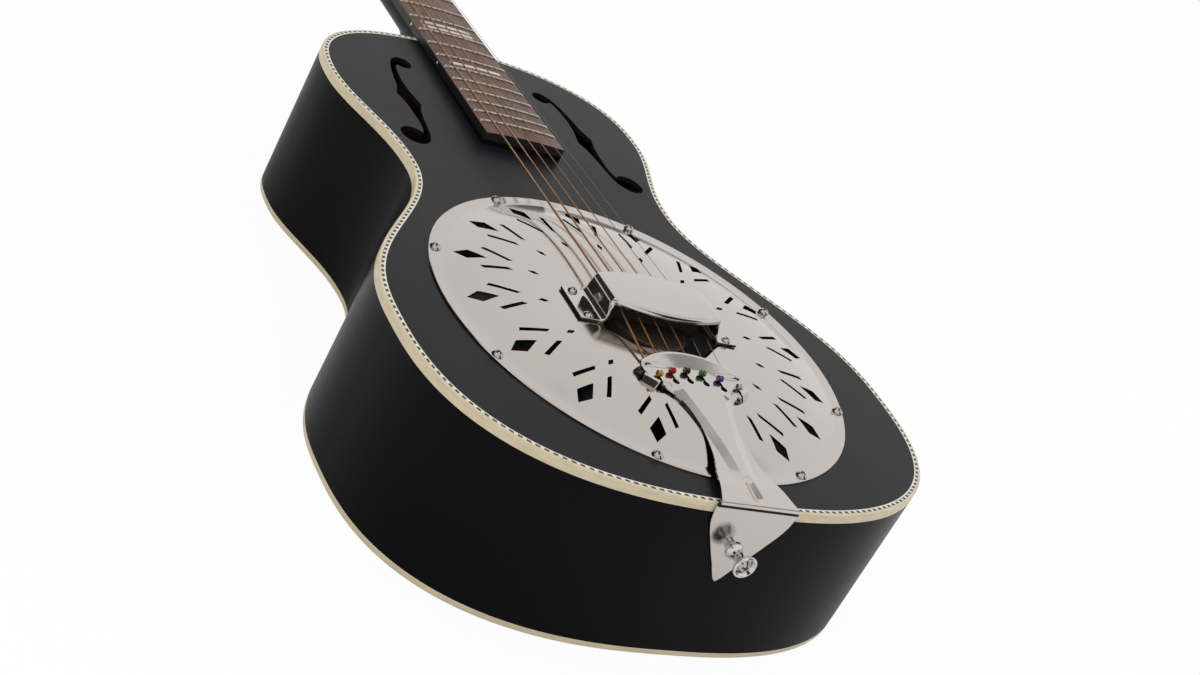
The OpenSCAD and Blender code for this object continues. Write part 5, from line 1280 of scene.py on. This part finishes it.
def carved_neck():
    """The neck's shell melted into one skin and planed flat, with the headstock and its veneer."""
    rough = make("rough_neck", neck_shell(), "body_lacquer", BLACK)
    melt = rough.modifiers.new("melt", "REMESH")
    melt.mode, melt.voxel_size = "VOXEL", 1.0 * MM
    ease_off = rough.modifiers.new("ease", "SMOOTH")
    ease_off.factor, ease_off.iterations = 0.5, 12
    melted = rough.evaluated_get(bpy.context.evaluated_depsgraph_get())
    mesh = bpy.data.meshes.new_from_object(melted)
    bpy.data.objects.remove(rough)
    half = smooth_line([(22.25, -1), (23.75, 5), (28.6, 14), (31, 26), (31.4, 60), (32.8, 112),
                        (34, 140), (30, 147.5), (18, 151), (0, 152)], 8)
    ring = anticlockwise(resample(mirrored(chain([(0, -1)], half)), 1.2, True))
    arc = quarter_turn(5)
    slab = [(HEAD_ROUND * (1 - math.sin(k)), -HEAD_T + HEAD_ROUND * (1 - math.cos(k)))
            for k in arc]
    slab = Sheet().loft(on_head(stacked(ring, slab + [(0, -FACE_T)]))).mesh("slab")
    under_board = Vector(on_neck((0, 0, 0))), Vector(turn_x((0, 0, 1), -LEAN))
    at_body = Vector((0, BODY_END - 2.5, 0)), Vector((0, -1, 0))
    with edited(mesh) as shell:
        for spot, away in (under_board, at_body):
            cut = bmesh.ops.bisect_plane(
                shell, geom=shell.verts[:] + shell.edges[:] + shell.faces[:],
                plane_co=spot * MM, plane_no=away, clear_outer=True)
            rim = [e for e in cut["geom_cut"] if isinstance(e, bmesh.types.BMEdge)]
            bmesh.ops.holes_fill(shell, edges=rim)
        shell.from_mesh(slab)
    book("carved_neck", mesh, "body_lacquer", SHADED_BLACK, "neck", crease=38)
    veneer = [(VENEER_ROUND * (1 - math.cos(k)), -VENEER_ROUND * (1 - math.sin(k))) for k in arc]
    veneer = Sheet().loft(on_head(stacked(ring, [(0, -FACE_T + 0.02)] + veneer)))
    make("head_veneer_sheet", veneer, "head_veneer", VENEER, "headstock_face", crease=50)


def fretboard():
    """A board with an arched face; v is one on the face and nought on the blacked sides."""
    ly = chain([BOARD_END], np.linspace(BOARD_END + 0.05, NUT_LY, BOARD_ROWS - 1))[:, None]
    x = board_half(ly) * np.linspace(-1, 1, BOARD_COLUMNS)[None, :]
    face = grid_of(x, ly, board_z(x))
    right, left = face[:, -1:], face[:, :1]
    rings = np.concatenate([face, right, right * (1, 1, 0), left * (1, 1, 0), left], 1)
    v = chain(np.ones(BOARD_COLUMNS), np.zeros(5)) * (np.arange(BOARD_ROWS) > 0)[:, None]
    sheet = Sheet().loft(on_neck(rings), grid_of(ly, v))
    make("arched_fretboard", sheet, "rosewood", ROSEWOOD, "fretboard")


def frets():
    """Fret wires: a half ellipse across the arched face, its height running out at both ends."""
    a = np.linspace(0, np.pi, 11)
    y = np.append(FRET_HALF_W * np.cos(a), (-FRET_HALF_W, FRET_HALF_W))
    z = np.append(FRET_H * np.sin(a), (-0.4, -0.4))
    sheet = Sheet()
    for n in range(1, FRET_COUNT + 1):
        half = board_half(fret_ly(n)) - FRET_INSET
        ends = half - np.array([0, 0.12, 0.35, 0.7, 1.1])
        middle = np.linspace(-ends[-1], ends[-1], 15)[1:-1]
        x = chain(-ends, middle, ends[::-1])[:, None]
        full = np.sqrt(np.clip((half - np.abs(x)) / 1.1, 0.02, 1))
        sheet.loft(on_neck(grid_of(x, fret_ly(n) + y * (0.75 + 0.25 * full),
                                   board_z(x) + np.where(z > 0, z * full, z))))
    make("crowned_frets", sheet, "fret_wire", WIRE, "frets", crease=60)


def markers():
    """Bars let into the face behind the marked frets, and dots on the bass side."""
    behind = {n: (fret_ly(n) + fret_ly(n - 1)) / 2 for n in (*MARKED, OCTAVE)}
    x = np.linspace(-MARKER_HALF_L, MARKER_HALF_L, 17)[:, None]
    y = np.array([1.7, 1.7, 1.55, -1.55, -1.7, -1.7])
    z = np.array([-1.0, -0.1, 0.04, 0.04, -0.1, -1.0])
    sheet = Sheet()
    for ly in ([behind[n] for n in MARKED]
               + [behind[OCTAVE] - MARKER_PAIR, behind[OCTAVE] + MARKER_PAIR]):
        sheet.loft(on_neck(grid_of(x, ly + y, board_z(x) + z)))
    dot = [(0, 0.05), (0.9, 0.05), (1.1, -0.05), (1.1, -1.2), (0, -1.2)]
    for ly in behind.values():
        sheet.grid(on_neck(revolve(dot, (-board_half(ly), ly, BOARD_T / 2), (-1, 0, 0), 24)))
    make("inlaid_markers", sheet, "inlay", PEARL, "fret_markers")


# ---- Headstock ----

POST_X = 20.0
POSTS_Y = (38, 73, 108)
WORM_Y = -8.65
GEAR_Z = -19.9
BUTTON_OUT, BUTTON_L, BUTTON_HALF_W, BUTTON_HALF_T = 15, 17, 9, 4
BUTTON_POWER = 0.85


def post_place(n):
    """The side of machine n, and its post's place along the headstock."""
    return (-1 if n <= 3 else 1), POSTS_Y[(n - 1) % 3]


def machines():
    """Buttons as flattened ovals; posts, gears and worms keep their shapes with polished edges."""
    # Share of the button's length, and its half width and half thickness there
    shape = smooth_line([(0, 0.34, 0.72), (0.1, 0.36, 0.74), (0.2, 0.6, 0.8), (0.36, 0.9, 0.94),
                         (0.56, 1, 1), (0.76, 0.92, 0.96), (0.91, 0.68, 0.8), (0.985, 0.4, 0.5),
                         (1, 0.2, 0.26)], 6)
    share, wide, thick = (shape[:, k:k + 1] for k in range(3))
    across, up = (np.sign(wave) * np.abs(wave) ** BUTTON_POWER
                  for wave in polar(1, full_turn(40)).T[:, None])
    y, z = BUTTON_HALF_W * wide * across, BUTTON_HALF_T * thick * up
    x = BUTTON_OUT + POST_X + BUTTON_L * share
    for n in range(1, 7):
        side, post = post_place(n)
        oval = Sheet().loft(on_head(grid_of(side * x, post + WORM_Y + y, GEAR_Z + z)))
        make("oval_button_%d" % n, oval, "button_cream", CREAM, "tuning_button_%d" % n,
             "key_%d" % n, crease=50)
        for node, slot, finish, body, crease in (
                ("worm_shaft_%d", "machine_nickel", MACHINE, "key_%d", 38),
                ("string_post_%d", "machine_nickel", MACHINE, "post_%d", 38),
                ("gear_%d", "gear_brass", BRASS, "post_%d", 30)):
            softened(node % n, slot, finish, body=body % n, crease=crease)
    softened("post_bushings", "machine_nickel", MACHINE)
    softened("tuner_plates", "machine_nickel", MACHINE, 0.2)
    softened("truss_cover", "cover_plastic", GLOSS, 0.25)
    softened("nut", "nut_bone", BONE, 0.12)
    softened("head_screws", "screw_chrome", SCREWS, crease=40)


# ---- Strings ----

GAUGES = (1.35, 1.07, 0.81, 0.61, 0.41, 0.3)
SADDLE_ROW, NUT_ROW = 54, 37
SADDLE_TOP = TOP + 18
WRAP_TOP, WRAP_R = 8.6, 2.9
BALL_Z = HEAD_TOP + 1.77
BALL_GROOVE = 1.22


def string_path(i):
    """Ball, keyhole, under the head's lip, over the saddle and nut, and down round the post."""
    d, x, y = GAUGES[i], spread(i, BALL_ROW), ball_y(i)
    low = HEAD_TOP - TAIL_T - d / 2 - 0.04
    edge = HEAD_Y + math.sqrt((HEAD_R - 1.6) ** 2 - x ** 2)
    nut_x, nut_z = spread(i, NUT_ROW), BOARD_T + 1.5 + d / 2
    side, post = post_place(i + 1 if i <= 2 else 9 - i)
    k = np.arange(28)
    turn, r = np.radians(180 - 30 * k), WRAP_R + d / 2
    wraps = on_head(abreast(side * (POST_X + r * np.cos(turn)), post + r * np.sin(turn),
                            WRAP_TOP - (d + 0.08) * k / 12))
    return chain(
        [(x, y + 0.7, HEAD_TOP + 0.1), (x, y + 2, low + 0.2), (x, y + 4, low), (x, edge, low),
         (spread(i, SADDLE_ROW), 0, SADDLE_TOP)],
        on_neck([(nut_x, NUT_LY, nut_z), (nut_x, HEAD_LY, nut_z - 0.8)]), wraps)


def string_set(name, pitches, slot, finish, node):
    """Strings as tubes: u counts the turns of the winding along each and v goes once round it.

    Each string's ball end has a loop of its wire lying in the ball's groove.
    """
    sheet = Sheet()
    loop = np.linspace(0, 2 * np.pi, 25)
    for i, pitch in pitches.items():
        thin = min(0.3, GAUGES[i])
        noose = np.column_stack([np.full(25, spread(i, BALL_ROW)),
                                 polar(BALL_GROOVE + thin / 2, loop) + (ball_y(i), BALL_Z)])
        for line, radius, sides in ((string_path(i), GAUGES[i] / 2, 12), (noose, thin / 2, 8)):
            uv = grid_of(lengths(line)[:, None] / pitch, np.linspace(0, 1, sides + 1)[None])
            rings = swept(line, radius, sides)
            sheet.grid(rings, uv=uv).cap(rings[0]).cap(rings[-1])
    make(name, sheet, slot, finish, node, crease=60)


def balls():
    """Grooved barrels; u picks the colour of each and v bares the metal round the bores."""
    half = [(0.6, 1.6), (1.5, 1.6), (1.75, 1.35), (1.75, 0.7), (1.25, 0.3)]
    profile = [(r, -h) for r, h in half] + half[::-1] + [(0.6, -1.6)]
    profile = rounded(profile, 0.12, 2)
    bare = (profile[:, :1] < 1.0) * 1.0
    sheet = Sheet()
    for i in range(6):
        uv = grid_of(np.full((1, 41), (i + 0.5) / BALL_STOPS), bare)
        centre = (spread(i, BALL_ROW), ball_y(i), BALL_Z)
        sheet.grid(revolve(profile, centre, (1, 0, 0), 40), uv=uv)
    make("coloured_balls", sheet, "ball_brass", BALLS, "ball_ends", crease=50)


# ---- Everything in turn ----

for step in (camera, open_sky, floor, cards, lamps, sides, bindings, purfling, boards, coverplate,
             handrest, tailpiece, tail_bracket, strap_button, carved_neck, fretboard, frets,
             markers, machines):
    step()
string_set("bronze_strings", {0: 0.38, 1: 0.32, 2: 0.26, 3: 0.21}, "bronze_string", BRONZE,
           "wound_strings")
string_set("steel_strings", {4: 1, 5: 1}, "plain_string", PLAIN, "plain_strings")
balls()
softened("fretboard_support", "body_lacquer", SHADED_BLACK)
softened("cone", "cone_aluminium", CONE, flat=0.2)
softened("saddle", "maple", MAPLE)
for node, finish in {"biscuit": MAPLE, "biscuit_screw": STEEL, "truss_rod": STEEL,
                     "linings": LININGS, "end_blocks": BLOCKS, "braces": BRACES,
                     "soundwell": WELL}.items():
    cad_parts[node].data.materials.clear()
    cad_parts[node].data.materials.append(finish)

bpy.context.scene.view_settings.view_transform = "Standard"
